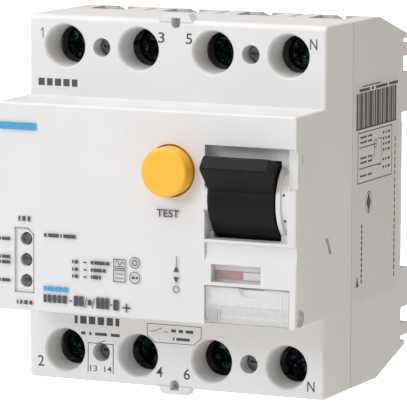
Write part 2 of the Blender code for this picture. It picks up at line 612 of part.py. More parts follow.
def tube(points, radius, sides=8):
    """Closed round tube along a list of points."""
    bm = bmesh.new()
    rings = []
    side = Vector((0, 1, 0))
    for index, point in enumerate(points):
        ahead = points[min(index + 1, len(points) - 1)] - points[max(index - 1, 0)]
        ahead.normalize()
        side = (side - ahead * side.dot(ahead)).normalized()
        across = ahead.cross(side)
        ring = []
        for corner in range(sides):
            angle = math.tau * corner / sides
            ring.append(bm.verts.new(point + radius * (math.cos(angle) * side + math.sin(angle) * across)))
        rings.append(ring)
    for one, two in zip(rings, rings[1:]):
        for corner in range(sides):
            after = (corner + 1) % sides
            bm.faces.new((one[corner], one[after], two[after], two[corner]))
    bm.faces.new(rings[0])
    bm.faces.new(rings[-1])
    return solid("tube", bm)


def make_load_lead(pole):
    """Load contact, insulated lead through the ring and lower terminal bar, brazed into one."""
    x = pole_x(pole)
    lead = contact_strip(x, LOAD_CONTACT_Z - CONTACT_EDGE, LOAD_CONTACT_Z + CONTACT_EDGE, LOAD_CONTACT_Z)
    join(lead, tube(smooth_route(lead_points(pole), 3), LEAD_R))
    join(lead, block((x - BAR_HALF_X, BAR_Y, -BAY_HIGH_Z + 0.6 * MM),
                     (x + BAR_HALF_X, BAR_Y + BAR_THICK, -HALF_FRONT + 2.2 * MM)))
    finish(lead, f"load_lead_{pole + 1}", COPPER, 0.35, 1.0)


def make_bridge(pole):
    x = pole_x(pole)
    back = BAR_Y - RIVET_HEIGHT - GAP
    strip_back = back - 0.9 * MM
    bridge = block((x - BRIDGE_HALF_X, strip_back - BRIDGE_THICK, LOAD_CONTACT_Z - CONTACT_EDGE),
                   (x + BRIDGE_HALF_X, strip_back, LINE_CONTACT_Z + CONTACT_EDGE))
    for z in (LOAD_CONTACT_Z, LINE_CONTACT_Z):
        join(bridge, rod((x, strip_back - GAP, z), (x, back, z), RIVET_R, sides=16))
    finish(bridge, f"bridge_contact_{pole + 1}", COPPER, 0.35, 1.0, origin=(x, back, CARRIER_Z))


def carrier_front_y():
    return carrier_back_y() - CARRIER_THICK


def carrier_back_y():
    return BAR_Y - RIVET_HEIGHT - GAP - 0.9 * MM - BRIDGE_THICK - 1.5 * MM


def make_contact_carrier():
    back = carrier_back_y()
    carrier = block((-INNER_X + 1.7 * MM, carrier_front_y(), CARRIER_Z - CARRIER_HALF_Z),
                    (INNER_X - 1.7 * MM, back, CARRIER_Z + CARRIER_HALF_Z))
    for pole in range(POLES):
        x = pole_x(pole)
        join(carrier, block((x - POST_HALF_X, back - GAP, CARRIER_Z - POST_HALF_Z),
                            (x + POST_HALF_X, BAR_Y - 1.2 * MM, CARRIER_Z + POST_HALF_Z)))
        cut(carrier, block((x - BRIDGE_HALF_X - GAP, back, CARRIER_Z - POST_HALF_Z - OVER),
                           (x + BRIDGE_HALF_X + GAP, BAR_Y - RIVET_HEIGHT - GAP - 0.9 * MM + GAP,
                            CARRIER_Z + POST_HALF_Z + OVER)))
    finish(carrier, "contact_carrier", (0.08, 0.08, 0.09), 0.5, origin=(0, back, CARRIER_Z))


def make_contacts():
    for pole in range(POLES):
        bar = contact_strip(pole_x(pole), LINE_CONTACT_Z - CONTACT_EDGE, BAY_HIGH_Z - 0.6 * MM,
                            LINE_CONTACT_Z)
        finish(bar, f"line_bar_{pole + 1}", COPPER, 0.35, 1.0)
        make_load_lead(pole)
        make_bridge(pole)
    make_contact_carrier()
    spring = coil("opening_spring", (0, carrier_back_y() + 1.2 * MM, CARRIER_Z),
                  (0, FLOOR_Y - 1.2 * MM, CARRIER_Z), 3.0 * MM, 0.35 * MM, 6)
    finish(spring, "opening_spring", STEEL, 0.3, 1.0)


def make_transformer():
    """Ring core with the sensing coil wound around most of it."""
    wall = COIL_WALL + GAP
    low, high = RING_LOW_Z, RING_HIGH_Z

    def ring(outer, inner, bottom, top):
        made = rod((0, RING_Y, bottom), (0, RING_Y, top), outer, sides=36)
        return cut(made, rod((0, RING_Y, bottom - OVER), (0, RING_Y, top + OVER), inner, sides=36))

    core = ring(RING_OUT_R - wall, RING_IN_R + wall, low + wall, high - wall)
    finish(core, "transformer_core", (0.30, 0.31, 0.33), 0.6, 0.6)
    winding = ring(RING_OUT_R, RING_IN_R, low, high)
    cut(winding, ring(RING_OUT_R - COIL_WALL, RING_IN_R + COIL_WALL, low + COIL_WALL, high - COIL_WALL))
    cut(winding, block((-3 * MM, RING_Y, low - OVER), (3 * MM, RING_Y + RING_OUT_R + OVER, high + OVER)))
    finish(winding, "sensing_coil", COPPER, 0.4, 1.0)


# ---------------------------------------------------------------- operating mechanism

def from_toggle(forward, up):
    return (TOGGLE_Y - forward, TOGGLE_Z + up)


def drum_point(angle, radius):
    return from_toggle(radius * math.cos(angle), radius * math.sin(angle))


def make_toggle():
    """Drum sector with its lever, the shell that keeps the opening closed, and the crank."""
    left, right = toggle_left(), toggle_right()
    deg = math.radians
    steps = 14
    sector = [drum_point(deg(-72) + deg(83) * step / steps, DRUM_R) for step in range(steps + 1)]
    sector += [from_toggle(14.1 * MM, 6.6 * MM), from_toggle(14.35 * MM, 7.3 * MM),
               from_toggle(12.5 * MM, 9.3 * MM), from_toggle(11.9 * MM, 9.5 * MM),
               drum_point(deg(54), DRUM_R)]
    sector += [drum_point(deg(54) + deg(86) * step / steps, DRUM_R) for step in range(1, steps + 1)]
    shell = DRUM_R - 1.4 * MM
    sector += [drum_point(deg(140) - deg(60) * step / 8, shell) for step in range(9)]
    sector += [drum_point(deg(85), 2.2 * MM), drum_point(deg(-78), 2.2 * MM)]
    toggle = plate(sector, "X", left, right)
    hub = rod((left, TOGGLE_Y, TOGGLE_Z), (TOGGLE_X + WEB_THICK / 2, TOGGLE_Y, TOGGLE_Z), 3.2 * MM,
              sides=20)
    join(toggle, hub)
    peg = from_crank(0)
    web_left, web_right = TOGGLE_X - WEB_THICK / 2, TOGGLE_X + WEB_THICK / 2
    web = [(TOGGLE_Y - 1.5 * MM, TOGGLE_Z - 1.0 * MM), (peg[0] + 1.6 * MM, peg[1] - 1.2 * MM),
           (peg[0] + 1.6 * MM, peg[1] + 1.2 * MM), (peg[0] - 1.2 * MM, peg[1] + 1.8 * MM),
           (TOGGLE_Y - 1.5 * MM, TOGGLE_Z + 5.0 * MM)]
    join(toggle, plate(web, "X", web_left, web_right))
    join(toggle, rod((web_left, *peg), (web_right + GAP + LINK_THICK + GAP, *peg), PEG_R, sides=16))
    pocket_right = web_left - 0.6 * MM
    cut(toggle,
        rod((left - OVER, TOGGLE_Y, TOGGLE_Z), (pocket_right, TOGGLE_Y, TOGGLE_Z), 4.6 * MM, sides=24),
        rod((left - OVER, TOGGLE_Y, TOGGLE_Z), (right + OVER, TOGGLE_Y, TOGGLE_Z), PIVOT_R + GAP, sides=20))
    slot_low = web_right + 0.1 * MM
    slot_high = slot_low + LINK_THICK + 2 * GAP
    cut(toggle, block((slot_low, TOGGLE_Y - 3.4 * MM, TOGGLE_Z + PIVOT_R + 0.2 * MM),
                      (slot_high, TOGGLE_Y + DRUM_R + OVER, TOGGLE_Z + DRUM_R + OVER)))
    finish(toggle, "toggle", (0.02, 0.02, 0.022), 0.4, origin=(TOGGLE_X, TOGGLE_Y, TOGGLE_Z))


def from_crank(turned):
    """The crank peg's Y and Z with the toggle turned this far from on towards off."""
    angle = CRANK_REST + turned
    return (TOGGLE_Y + CRANK_R * math.cos(angle), TOGGLE_Z + CRANK_R * math.sin(angle))


def make_drive_link():
    """Fork that the crank peg moves in, fixed to the contact carrier."""
    left = TOGGLE_X + WEB_THICK / 2 + 0.25 * MM
    peg = from_crank(0)
    slot_half = PEG_R + PEG_PLAY
    slot_low, slot_high = peg[0] - slot_half, peg[0] + slot_half
    slot_top = from_crank(TOGGLE_TRAVEL)[1] + PEG_R + 0.6 * MM
    prong = 1.5 * MM
    tip_z = TOGGLE_Z + PIVOT_R + 0.5 * MM
    top = slot_top + 1.6 * MM
    outline = [(slot_low - prong, tip_z), (slot_low, tip_z), (slot_low, slot_top), (slot_high, slot_top),
               (slot_high, tip_z), (slot_high + prong, tip_z), (slot_high + prong, slot_top - 2.2 * MM),
               (carrier_front_y() - GAP, slot_top - 2.2 * MM), (carrier_front_y() - GAP, top),
               (slot_low - prong, top)]
    link = plate(outline, "X", left, left + LINK_THICK)
    finish(link, "drive_link", STEEL, 0.3, 1.0, origin=(left, *peg))


def make_mechanism():
    make_toggle()
    make_drive_link()
    cheek = toggle_left() - GAP - CHEEK
    pin = rod((cheek + 0.2 * MM, TOGGLE_Y, TOGGLE_Z), (PIN_END_X, TOGGLE_Y, TOGGLE_Z), PIVOT_R, sides=16)
    finish(pin, "toggle_pin", STEEL, 0.25, 1.0)
    spring = coil("toggle_spring", (toggle_left() + 0.6 * MM, TOGGLE_Y, TOGGLE_Z),
                  (TOGGLE_X - WEB_THICK / 2 - 1.4 * MM, TOGGLE_Y, TOGGLE_Z), 3.1 * MM, 0.3 * MM, 4)
    finish(spring, "toggle_spring", STEEL, 0.3, 1.0)
    make_flag(cheek)
    make_trip_gear()


def make_flag(cheek):
    """Turning flag behind the window: red in front when on, green above it."""
    deg = math.radians
    pie = [(FLAG_Y, FLAG_Z)]
    pie += [(FLAG_Y - FLAG_R * math.cos(a), FLAG_Z + FLAG_R * math.sin(a))
            for a in (deg(-25 + 100 * step / 12) for step in range(13))]
    flag = plate(pie, "X", FLAG_LEFT, FLAG_LEFT + FLAG_WIDTH)
    axis = (FLAG_Y, FLAG_Z)
    join(flag, rod((FLAG_LEFT, *axis), (FLAG_LEFT + FLAG_WIDTH, *axis), 2.0 * MM, sides=20),
         rod((cheek + 0.2 * MM, *axis), (PIN_END_X, *axis), FLAG_AXLE_R, sides=16))
    finish(flag, "position_flag", (0.65, 0.05, 0.06), 0.5, origin=(TOGGLE_X, *axis))


def make_trip_gear():
    """Trip relay, its plunger, and the latch lever that the plunger lifts."""
    left, right = toggle_left() + 0.9 * MM, toggle_right() - 0.3 * MM
    relay = block((left, LATCH_PIVOT_Y - 9 * MM, -CHAMBER_Z + 0.5 * MM),
                  (right, LATCH_PIVOT_Y + 2 * MM, TRIP_TOP_Z))
    plunger_x = left + 2.6 * MM
    cut(relay, rod((plunger_x, PLUNGER_Y, TRIP_TOP_Z - 5 * MM), (plunger_x, PLUNGER_Y, TRIP_TOP_Z + OVER),
                   PLUNGER_R + GAP, sides=16))
    finish(relay, "trip_relay", (0.10, 0.10, 0.12), 0.45)
    arm_low = LATCH_PIVOT_Z - 1.0 * MM
    plunger = rod((plunger_x, PLUNGER_Y, TRIP_TOP_Z - 3 * MM), (plunger_x, PLUNGER_Y, arm_low - GAP),
                  PLUNGER_R, sides=16)
    finish(plunger, "trip_plunger", STEEL, 0.3, 1.0, origin=(plunger_x, PLUNGER_Y, arm_low - GAP))
    lever_left, lever_right = left + 0.4 * MM, left + 4.8 * MM
    arm = [(PLUNGER_Y - 1.4 * MM, arm_low), (LATCH_PIVOT_Y + 1.6 * MM, arm_low),
           (LATCH_PIVOT_Y + 1.6 * MM, LATCH_PIVOT_Z + 6.0 * MM),
           (LATCH_PIVOT_Y + 2.6 * MM, LATCH_PIVOT_Z + 8.6 * MM),
           (LATCH_PIVOT_Y - 1.2 * MM, LATCH_PIVOT_Z + 9.6 * MM),
           (LATCH_PIVOT_Y - 1.6 * MM, LATCH_PIVOT_Z + 2.4 * MM),
           (PLUNGER_Y - 1.4 * MM, LATCH_PIVOT_Z + 0.6 * MM)]
    lever = plate(arm, "X", lever_left, lever_right)
    join(lever, rod((lever_left, LATCH_PIVOT_Y, LATCH_PIVOT_Z),
                    (lever_right, LATCH_PIVOT_Y, LATCH_PIVOT_Z), 2.1 * MM, sides=20))
    cut(lever, rod((lever_left - OVER, LATCH_PIVOT_Y, LATCH_PIVOT_Z),
                   (lever_right + OVER, LATCH_PIVOT_Y, LATCH_PIVOT_Z), LATCH_PIN_R + GAP, sides=16))
    finish(lever, "latch_lever", (0.75, 0.72, 0.62), 0.5,
           origin=(lever_left, LATCH_PIVOT_Y, LATCH_PIVOT_Z))
    pin = rod((toggle_left() - GAP - CHEEK + 0.2 * MM, LATCH_PIVOT_Y, LATCH_PIVOT_Z),
              (lever_right + 0.8 * MM, LATCH_PIVOT_Y, LATCH_PIVOT_Z), LATCH_PIN_R, sides=16)
    finish(pin, "latch_pin", STEEL, 0.25, 1.0)


# ---------------------------------------------------------------- front fittings and electronics

def make_test_button():
    axis = (BUTTON_X, BUTTON_Z)

    def round_part(y_low, y_high, radius, sides=32):
        return rod((axis[0], y_low, axis[1]), (axis[0], y_high, axis[1]), radius, sides=sides)

    front = FRONT_Y - BUTTON_RISE
    flange = FRONT_Y + WALL + GAP
    cap = round_part(front, flange + 0.2 * MM, BUTTON_R)
    soften(cap, 0.5 * MM, lambda edge: any(vert.co.y > front + 0.1 * MM for vert in edge.verts))
    join(cap, round_part(flange, flange + 1.1 * MM, BUTTON_R + 1.0 * MM),
         round_part(flange + 0.8 * MM, FRONT_Y + 11.0 * MM, STEM_R, 20))
    finish(cap, "test_button", (0.85, 0.50, 0.06), 0.4, origin=(axis[0], front, axis[1]))
    spring_front = flange + 1.1 * MM + 0.6 * MM
    spring = coil("test_spring", (axis[0], spring_front, axis[1]),
                  (axis[0], FRONT_Y + 9.8 * MM - 1.4 * MM - 0.6 * MM, axis[1]), 4.2 * MM, 0.25 * MM, 3.5)
    finish(spring, "test_spring", STEEL, 0.3, 1.0)
    contact = block((axis[0] - 5 * MM, BOARD_Y - 0.65 * MM, axis[1] - 1.5 * MM),
                    (axis[0] + 3.4 * MM, BOARD_Y - GAP, axis[1] + 1.5 * MM))
    finish(contact, "test_contact", COPPER, 0.35, 1.0)


def make_window_lens():
    lens = block((WINDOW_LEFT + GAP, FRONT_Y + 1.2 * MM, WINDOW_LOW_Z + GAP),
                 (WINDOW_LEFT + WINDOW_WIDTH - GAP, FRONT_Y + 2.0 * MM, WINDOW_HIGH_Z - GAP))
    finish(lens, "window_lens", (0.85, 0.85, 0.85), 0.15)


def make_label_cover():
    axis = (COVER_AXIS_Y, COVER_AXIS_Z)
    left, right = COVER_LEFT + GAP, COVER_RIGHT - GAP
    front = COVER_AXIS_Y - COVER_BARREL_R
    sheet = block((left, front, COVER_AXIS_Z), (right, front + COVER_SHEET, COVER_HIGH_Z - GAP))
    centre = (TOGGLE_X + 2.1 * MM, COVER_HIGH_Z - GAP)
    notch = arc(centre, 3.0 * MM, math.pi, math.tau, 14)
    notch = [(x, centre[1] + (z - centre[1]) * 0.7) for x, z in notch]
    notch += [(centre[0] + 3.0 * MM, centre[1] + OVER), (centre[0] - 3.0 * MM, centre[1] + OVER)]
    cut(sheet, plate(notch, "Y", front - OVER, front + COVER_SHEET + OVER))
    join(sheet, rod((left, *axis), (right, *axis), COVER_BARREL_R, sides=24),
         rod((COVER_LEFT - 1.6 * MM, *axis), (HALF_WIDTH - 1.0 * MM, *axis), 1.2 * MM, sides=16))
    finish(sheet, "label_cover", (0.85, 0.87, 0.88), 0.1, origin=(TOGGLE_X, *axis))
    card_y = FRONT_Y + POCKET_DEPTH - GAP
    card = block((left + 0.4 * MM, card_y - 0.3 * MM, COVER_AXIS_Z + COVER_BARREL_R + 0.6 * MM),
                 (right - 0.4 * MM, card_y, COVER_HIGH_Z - 0.7 * MM))
    finish(card, "label_card", (0.82, 0.82, 0.80), 0.7)


def make_electronics():
    left, right = -INNER_X + 0.8 * MM, toggle_left() - GAP - CHEEK - 0.6 * MM
    board = block((left, BOARD_Y, -CHAMBER_Z + 0.9 * MM),
                  (right, BOARD_Y + BOARD_THICK, CHAMBER_Z - 0.9 * MM))
    cut(board, block((left - OVER, BOARD_Y - OVER, CHAMBER_Z - 4 * MM),
                     (left + 4 * MM, BOARD_Y + BOARD_THICK + OVER, CHAMBER_Z)))
    finish(board, "circuit_board", (0.05, 0.25, 0.12), 0.5)
    back = BOARD_Y + BOARD_THICK + GAP
    relay_low = -CHAMBER_Z + 1.7 * MM
    relay = block((left + 2 * MM, back, relay_low), (left + 14 * MM, back + 9.5 * MM, relay_low + 13 * MM))
    finish(relay, "alarm_relay", (0.75, 0.35, 0.08), 0.4)
    middle = (back + 5.2 * MM, relay_low + 6 * MM)
    capacitor = rod((left + 18 * MM, *middle), (left + 32 * MM, *middle), 5.0 * MM, sides=20)
    finish(capacitor, "supply_capacitor", (0.07, 0.10, 0.22), 0.35)
    guide = block((LAMP_X - 1.6 * MM, BOARD_Y - 2.2 * MM, LAMP_Z[-1] - 1.6 * MM),
                  (LAMP_X + 1.6 * MM, BOARD_Y - GAP, LAMP_Z[0] + 1.6 * MM))
    for z in LAMP_Z:
        join(guide, rod((LAMP_X, BOARD_Y - 2.0 * MM, z), (LAMP_X, FRONT_Y + 0.7 * MM, z), LAMP_R, sides=20))
    finish(guide, "light_guide", (0.35, 0.35, 0.34), 0.2)


def make_case_screws():
    for number, (x, z) in enumerate(case_screw_places(), 1):
        head = TERMINAL_Y + 5.5 * MM - GAP
        screw = rod((x, head - 1.5 * MM, z), (x, head, z), CASE_HEAD_R, sides=16)
        join(screw, rod((x, head - GAP, z), (x, -14 * MM, z), CASE_SCREW_R, sides=12))
        cut(screw, block((x - 1.2 * MM, head - 1.5 * MM - OVER, z - GAP),
                         (x + 1.2 * MM, head - 0.8 * MM, z + GAP)))
        finish(screw, f"case_screw_{number}", STEEL, 0.3, 1.0)


def build():
    clear_scene()
    make_rear_base()
    make_front_cover()
    make_rail_latches()
    names = {1: "line", -1: "load"}
    for number, side, x in terminals():
        make_terminal_screw(f"{names[side]}_screw_{number}", x, side * TERMINAL_Z)
        make_clamp_cage(f"{names[side]}_clamp_{number}", x, side * TERMINAL_Z)
    make_contacts()
    make_transformer()
    make_mechanism()
    make_test_button()
    make_window_lens()
    make_label_cover()
    make_electronics()
    make_case_screws()


build()
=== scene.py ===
# %% [markdown]
# # A residual current device, four poles wide
#
# The device is a block of light grey moulded plastic that snaps on a mounting rail. A black toggle and
# a yellow test button stand out of its front block, and screw terminals sit in deep wells above and
# below. The CAD model already holds every part at its real size, so this lesson loads it as a fixed
# frame, builds finer pieces over the parts that the eye rests on, and gives every part its finish.

import json
import math

import bmesh
import bpy
from mathutils import Matrix, Vector

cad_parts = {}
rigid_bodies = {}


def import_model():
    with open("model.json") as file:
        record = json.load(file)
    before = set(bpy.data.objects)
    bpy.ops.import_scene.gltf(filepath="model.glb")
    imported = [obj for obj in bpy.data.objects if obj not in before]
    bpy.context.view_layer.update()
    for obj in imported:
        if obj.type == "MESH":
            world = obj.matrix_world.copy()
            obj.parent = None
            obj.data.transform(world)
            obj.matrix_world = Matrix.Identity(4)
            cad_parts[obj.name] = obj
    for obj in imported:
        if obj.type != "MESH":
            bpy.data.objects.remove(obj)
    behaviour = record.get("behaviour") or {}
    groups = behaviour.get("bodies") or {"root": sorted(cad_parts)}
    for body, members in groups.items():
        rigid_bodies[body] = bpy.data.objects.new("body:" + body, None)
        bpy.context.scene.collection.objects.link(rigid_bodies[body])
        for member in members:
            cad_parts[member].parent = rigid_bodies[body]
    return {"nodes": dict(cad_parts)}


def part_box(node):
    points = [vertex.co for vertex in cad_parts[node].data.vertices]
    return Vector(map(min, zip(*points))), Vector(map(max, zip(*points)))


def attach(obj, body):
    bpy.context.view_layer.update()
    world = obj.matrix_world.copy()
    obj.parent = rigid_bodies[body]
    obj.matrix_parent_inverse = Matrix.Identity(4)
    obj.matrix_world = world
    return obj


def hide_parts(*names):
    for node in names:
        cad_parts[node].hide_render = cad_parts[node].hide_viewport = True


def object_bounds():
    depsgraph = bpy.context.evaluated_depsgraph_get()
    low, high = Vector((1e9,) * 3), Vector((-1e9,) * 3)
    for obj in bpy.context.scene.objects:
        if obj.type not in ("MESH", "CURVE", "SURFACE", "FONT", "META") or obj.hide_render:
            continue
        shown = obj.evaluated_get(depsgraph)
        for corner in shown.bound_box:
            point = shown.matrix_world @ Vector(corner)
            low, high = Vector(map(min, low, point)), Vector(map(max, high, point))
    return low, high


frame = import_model()
cad_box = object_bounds()
MM = 0.001

# %% [markdown]
# ## Where the faces are
#
# Every later piece needs the same few planes: the front block, the step down to the terminal faces, the
# two sides. They could be typed in, but reading them from the parts keeps the pieces on the parts.

# %% Planes of the housing
cover_low, cover_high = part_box("front_cover")
# The foremost point is on the round rims beside the toggle, 0.4 mm ahead of the flat front. What is
# placed from this plane stands that far ahead of the flat face.
FRONT_Y = cover_low.y
SIDE_X = cover_high.x
HEAD_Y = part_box("line_screw_1")[0].y
HEAD_DEPTH = 8.0 * MM
TERMINAL_Y = HEAD_Y - HEAD_DEPTH
SEAM_Y = cover_high.y
HALF_FRONT = 22.5 * MM
HALF_HEIGHT = 40.0 * MM
SKIN = 0.02 * MM
toggle_low, toggle_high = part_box("toggle")
AXLE_Y, AXLE_Z = -51.0 * MM, 4.2 * MM
print("front at", round(FRONT_Y / MM, 2), "terminals at", round(TERMINAL_Y / MM, 2), "mm")

# %% [markdown]
# ## Camera
#
# The device is seen a little from its right and from above, with a long lens that keeps the edges
# nearly parallel. The camera's three axes are written out as a matrix, because they hold a small roll
# that an aimed camera would lose.

# %% Camera
CAMERA_PLACE = (0.35352, -0.81816, 0.11554)
LENS_MM = 353.6
camera = bpy.data.objects.new("camera", bpy.data.cameras.new("camera"))
bpy.context.scene.collection.objects.link(camera)
right = Vector((0.91237, 0.40938, 0.00442)).normalized()
ahead = Vector((-0.40514, 0.90438, -0.13401)).normalized()
up = right.cross(ahead).normalized()
camera.matrix_world = Matrix.Translation(CAMERA_PLACE) @ Matrix(
    (right, up, -ahead)).transposed().to_4x4()
camera.data.lens = LENS_MM
camera.data.sensor_width = 36.0
camera.data.clip_start = 0.05
camera.data.clip_end = 40.0
bpy.context.scene.camera = camera
print("camera at", tuple(round(c, 3) for c in camera.location))

# %% [markdown]
# ## Colours and nodes
#
# Colours are read off a finish as sRGB hex, while shaders work in linear light, so one function turns
# one into the other. A second one adds any shader node, with its settings and its links, which keeps
# the recipes for the finishes short enough to read.


# %% Colour and node helpers
def linear(code):
    """A hex colour such as #d8d7d3 as linear red, green, blue and alpha."""
    parts = [int(code[i:i + 2], 16) / 255 for i in (1, 3, 5)]
    return (*(c / 12.92 if c <= 0.04045 else ((c + 0.055) / 1.055) ** 2.4 for c in parts), 1.0)


def add(tree, kind, inputs=(), **settings):
    """One node with its own settings; an input is a value or a socket to link from."""
    made = tree.nodes.new(kind)
    for key, value in settings.items():
        setattr(made, key, value)
    for key, value in dict(inputs).items():
        if isinstance(value, bpy.types.NodeSocket):
            tree.links.new(value, made.inputs[key])
        else:
            made.inputs[key].default_value = value
    return made


def new_material(name, **sockets):
    """A named material with its principled shader, and the object's own coordinates."""
    made = bpy.data.materials.new(name)
    made.use_nodes = True
    shader = made.node_tree.nodes["Principled BSDF"]
    for key, value in sockets.items():
        shader.inputs[key.replace("_", " ")].default_value = value
    place = add(made.node_tree, "ShaderNodeTexCoord").outputs["Object"]
    return made, made.node_tree, shader, place


def ramp(tree, factor, stops):
    """A colour ramp through (position, hex colour) stops."""
    made = add(tree, "ShaderNodeValToRGB", {"Fac": factor})
    points = made.color_ramp.elements
    while len(points) < len(stops):
        points.new(0.5)
    for point, (position, code) in zip(points, stops):
        point.position = position
        point.color = linear(code)
    return made.outputs["Color"]


print("linear mid grey", round(linear("#808080")[0], 3))

# %% [markdown]
# ## Studio
#
# The device hangs on a rail, so the floor lies some way below it. The floor is white paper that glows
# for the camera only, so the background stays clean and no light comes from below. A warm pale surround
# fills the shaded side. One cool light from the upper left gives the button and the toggle their soft
# shadows, and a broad one overhead lifts the ledges.

# %% Studio
TENT_STRENGTH = 0.425
FLOOR_GAP = 60 * MM
FLOOR_HALF_M = 6.0
scene = bpy.context.scene
scene.view_settings.view_transform = "Standard"
world = bpy.data.worlds.new("pale tent")
world.use_nodes = True
scene.world = world
tent = world.node_tree
seen = add(tent, "ShaderNodeLightPath").outputs["Is Camera Ray"]
lit = add(tent, "ShaderNodeBackground", {"Color": linear("#fff9f0"), "Strength": TENT_STRENGTH})
white = add(tent, "ShaderNodeBackground", {"Color": linear("#ffffff"), "Strength": 1.0})
mixed = add(tent, "ShaderNodeMixShader", {0: seen, 1: lit.outputs[0], 2: white.outputs[0]})
tent.links.new(mixed.outputs[0], tent.nodes["World Output"].inputs["Surface"])


def linked(name, bm):
    """A bmesh as an object in the scene."""
    made = bpy.data.objects.new(name, bpy.data.meshes.new(name))
    bm.to_mesh(made.data)
    bm.free()
    scene.collection.objects.link(made)
    return made


FLOOR_Z = cad_box[0].z - FLOOR_GAP
bm = bmesh.new()
bmesh.ops.create_grid(bm, x_segments=2, y_segments=2, size=FLOOR_HALF_M,
                      matrix=Matrix.Translation((0, 0, FLOOR_Z)))
floor = linked("floor", bm)
paper, tree, shader, place = new_material("white backdrop paper", Roughness=0.9)
fibre = add(tree, "ShaderNodeTexNoise", {"Vector": place, "Scale": 40.0, "Detail": 3.0})
tree.links.new(ramp(tree, fibre.outputs["Fac"], [(0.3, "#f8f8f8"), (0.7, "#fcfcfc")]),
               shader.inputs["Base Color"])
shader.inputs["Emission Color"].default_value = linear("#ffffff")
tree.links.new(add(tree, "ShaderNodeLightPath").outputs["Is Camera Ray"], shader.inputs["Emission Strength"])
floor.data.materials.append(paper)


def soft_light(name, towards, distance, size, power, code):
    """A square light that looks at the device from one direction."""
    lamp = bpy.data.lights.new(name, "AREA")
    lamp.size = size
    lamp.energy = power
    lamp.color = linear(code)[:3]
    made = bpy.data.objects.new(name, lamp)
    scene.collection.objects.link(made)
    direction = Vector(towards).normalized()
    aim = direction.to_track_quat("Z", "Y").to_matrix().to_4x4()
    made.matrix_world = Matrix.Translation(direction * distance) @ aim
    return made


soft_light("key", towards=(-0.60, -1.0, 0.55), distance=1.2, size=0.45, power=5.5, code="#e9f2ff")
soft_light("overhead", towards=(-0.1, -0.25, 1.0), distance=1.1, size=0.9, power=8.8, code="#fffcff")
print("floor at", round(FLOOR_Z / MM, 1), "mm")

# %% [markdown]
# ## Shaping helpers
#
# A turned part is half an outline spun about its axis, a flat part is an outline pulled out to its
# thickness, and a housing is one solid minus its openings. These helpers do those three things with
# bmesh operators and applied Booleans, so each piece below is a few lines.


# %% Shaping helpers
WELD = 1e-7


def as_object(name, bm):
    """A finished bmesh as an object, its doubles merged and its faces pointing out."""
    bmesh.ops.remove_doubles(bm, verts=bm.verts, dist=WELD)
    bmesh.ops.recalc_face_normals(bm, faces=bm.faces)
    return linked(name, bm)


def extruded(bm, face, shift):
    """A face pulled out by a shift into a closed solid."""
    made = bmesh.ops.extrude_face_region(bm, geom=[face])
    moved = [item for item in made["geom"] if isinstance(item, bmesh.types.BMVert)]
    bmesh.ops.translate(bm, verts=moved, vec=shift)


def pulled(outline, axis, start, end):
    """An outline of points across an axis, pulled out along it from start to end."""
    order = {"X": lambda a, b: (start, a, b), "Y": lambda a, b: (a, start, b)}[axis]
    bm = bmesh.new()
    face = bm.faces.new([bm.verts.new(order(a, b)) for a, b in outline])
    extruded(bm, face, (end - start, 0, 0) if axis == "X" else (0, end - start, 0))
    bmesh.ops.recalc_face_normals(bm, faces=bm.faces)
    return bm


def turned(profile, x, z, steps):
    """A closed solid from (radius, y) points spun about a line along Y through (x, z)."""
    bm = bmesh.new()
    points = [bm.verts.new((x + radius, y, z)) for radius, y in profile]
    lines = [bm.edges.new(pair) for pair in zip(points, points[1:])]
    bmesh.ops.spin(bm, geom=points + lines, cent=(x, 0, z), axis=(0, 1, 0), dvec=(0, 0, 0),
                   angle=math.tau, steps=steps, use_merge=True, use_duplicate=False)
    bmesh.ops.remove_doubles(bm, verts=bm.verts, dist=WELD)
    bmesh.ops.recalc_face_normals(bm, faces=bm.faces)
    return bm


def turned_from(face_y, profile, x, z, steps):
    """A turned solid from (radius, depth) points in millimetres, with depth counted from a face."""
    return turned([(radius * MM, face_y + depth * MM) for radius, depth in profile], x, z, steps)


def centre_of(node):
    """The x and z of a part's axis, from its box."""
    low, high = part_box(node)
    return (low.x + high.x) / 2, (low.z + high.z) / 2


def gathered(parts):
    """Several bmeshes as one."""
    whole = bmesh.new()
    for part in parts:
        mesh = bpy.data.meshes.new("part")
        part.to_mesh(mesh)
        part.free()
        whole.from_mesh(mesh)
        bpy.data.meshes.remove(mesh)
    return whole


def box(low, high):
    """A cube scaled to span two corners."""
    low, high = Vector(low), Vector(high)
    bm = bmesh.new()
    size = Matrix.Diagonal((*(high - low), 1))
    bmesh.ops.create_cube(bm, size=1, matrix=Matrix.Translation((low + high) / 2) @ size)
    return bm


def rounded(bm, edges, width, segments=4):
    """The given edges rounded, as in the mould."""
    bmesh.ops.bevel(bm, geom=edges, offset=width, offset_type="OFFSET", segments=segments, profile=0.5,
                    affect="EDGES", material=-1, clamp_overlap=True)
    return bm


def shaped(target, bm, operation="DIFFERENCE"):
    """The target cut by, joined to or kept within another solid."""
    tool = as_object("tool", bm)
    step = target.modifiers.new(operation, "BOOLEAN")
    step.operation = operation
    step.object = tool
    step.solver = "EXACT"
    bpy.context.view_layer.update()
    result = target.evaluated_get(bpy.context.evaluated_depsgraph_get())
    mesh = bpy.data.meshes.new_from_object(result)
    target.modifiers.clear()
    target.data = mesh
    bpy.data.objects.remove(tool)
    return target


def merged_copy(node, name):
    """A CAD part's mesh with its loose triangles merged, as a new object."""
    bm = bmesh.new()
    bm.from_mesh(frame["nodes"][node].data)
    bmesh.ops.remove_doubles(bm, verts=bm.verts, dist=WELD)
    bmesh.ops.dissolve_limit(bm, angle_limit=math.radians(0.1), verts=bm.verts, edges=bm.edges)
    return linked(name, bm)


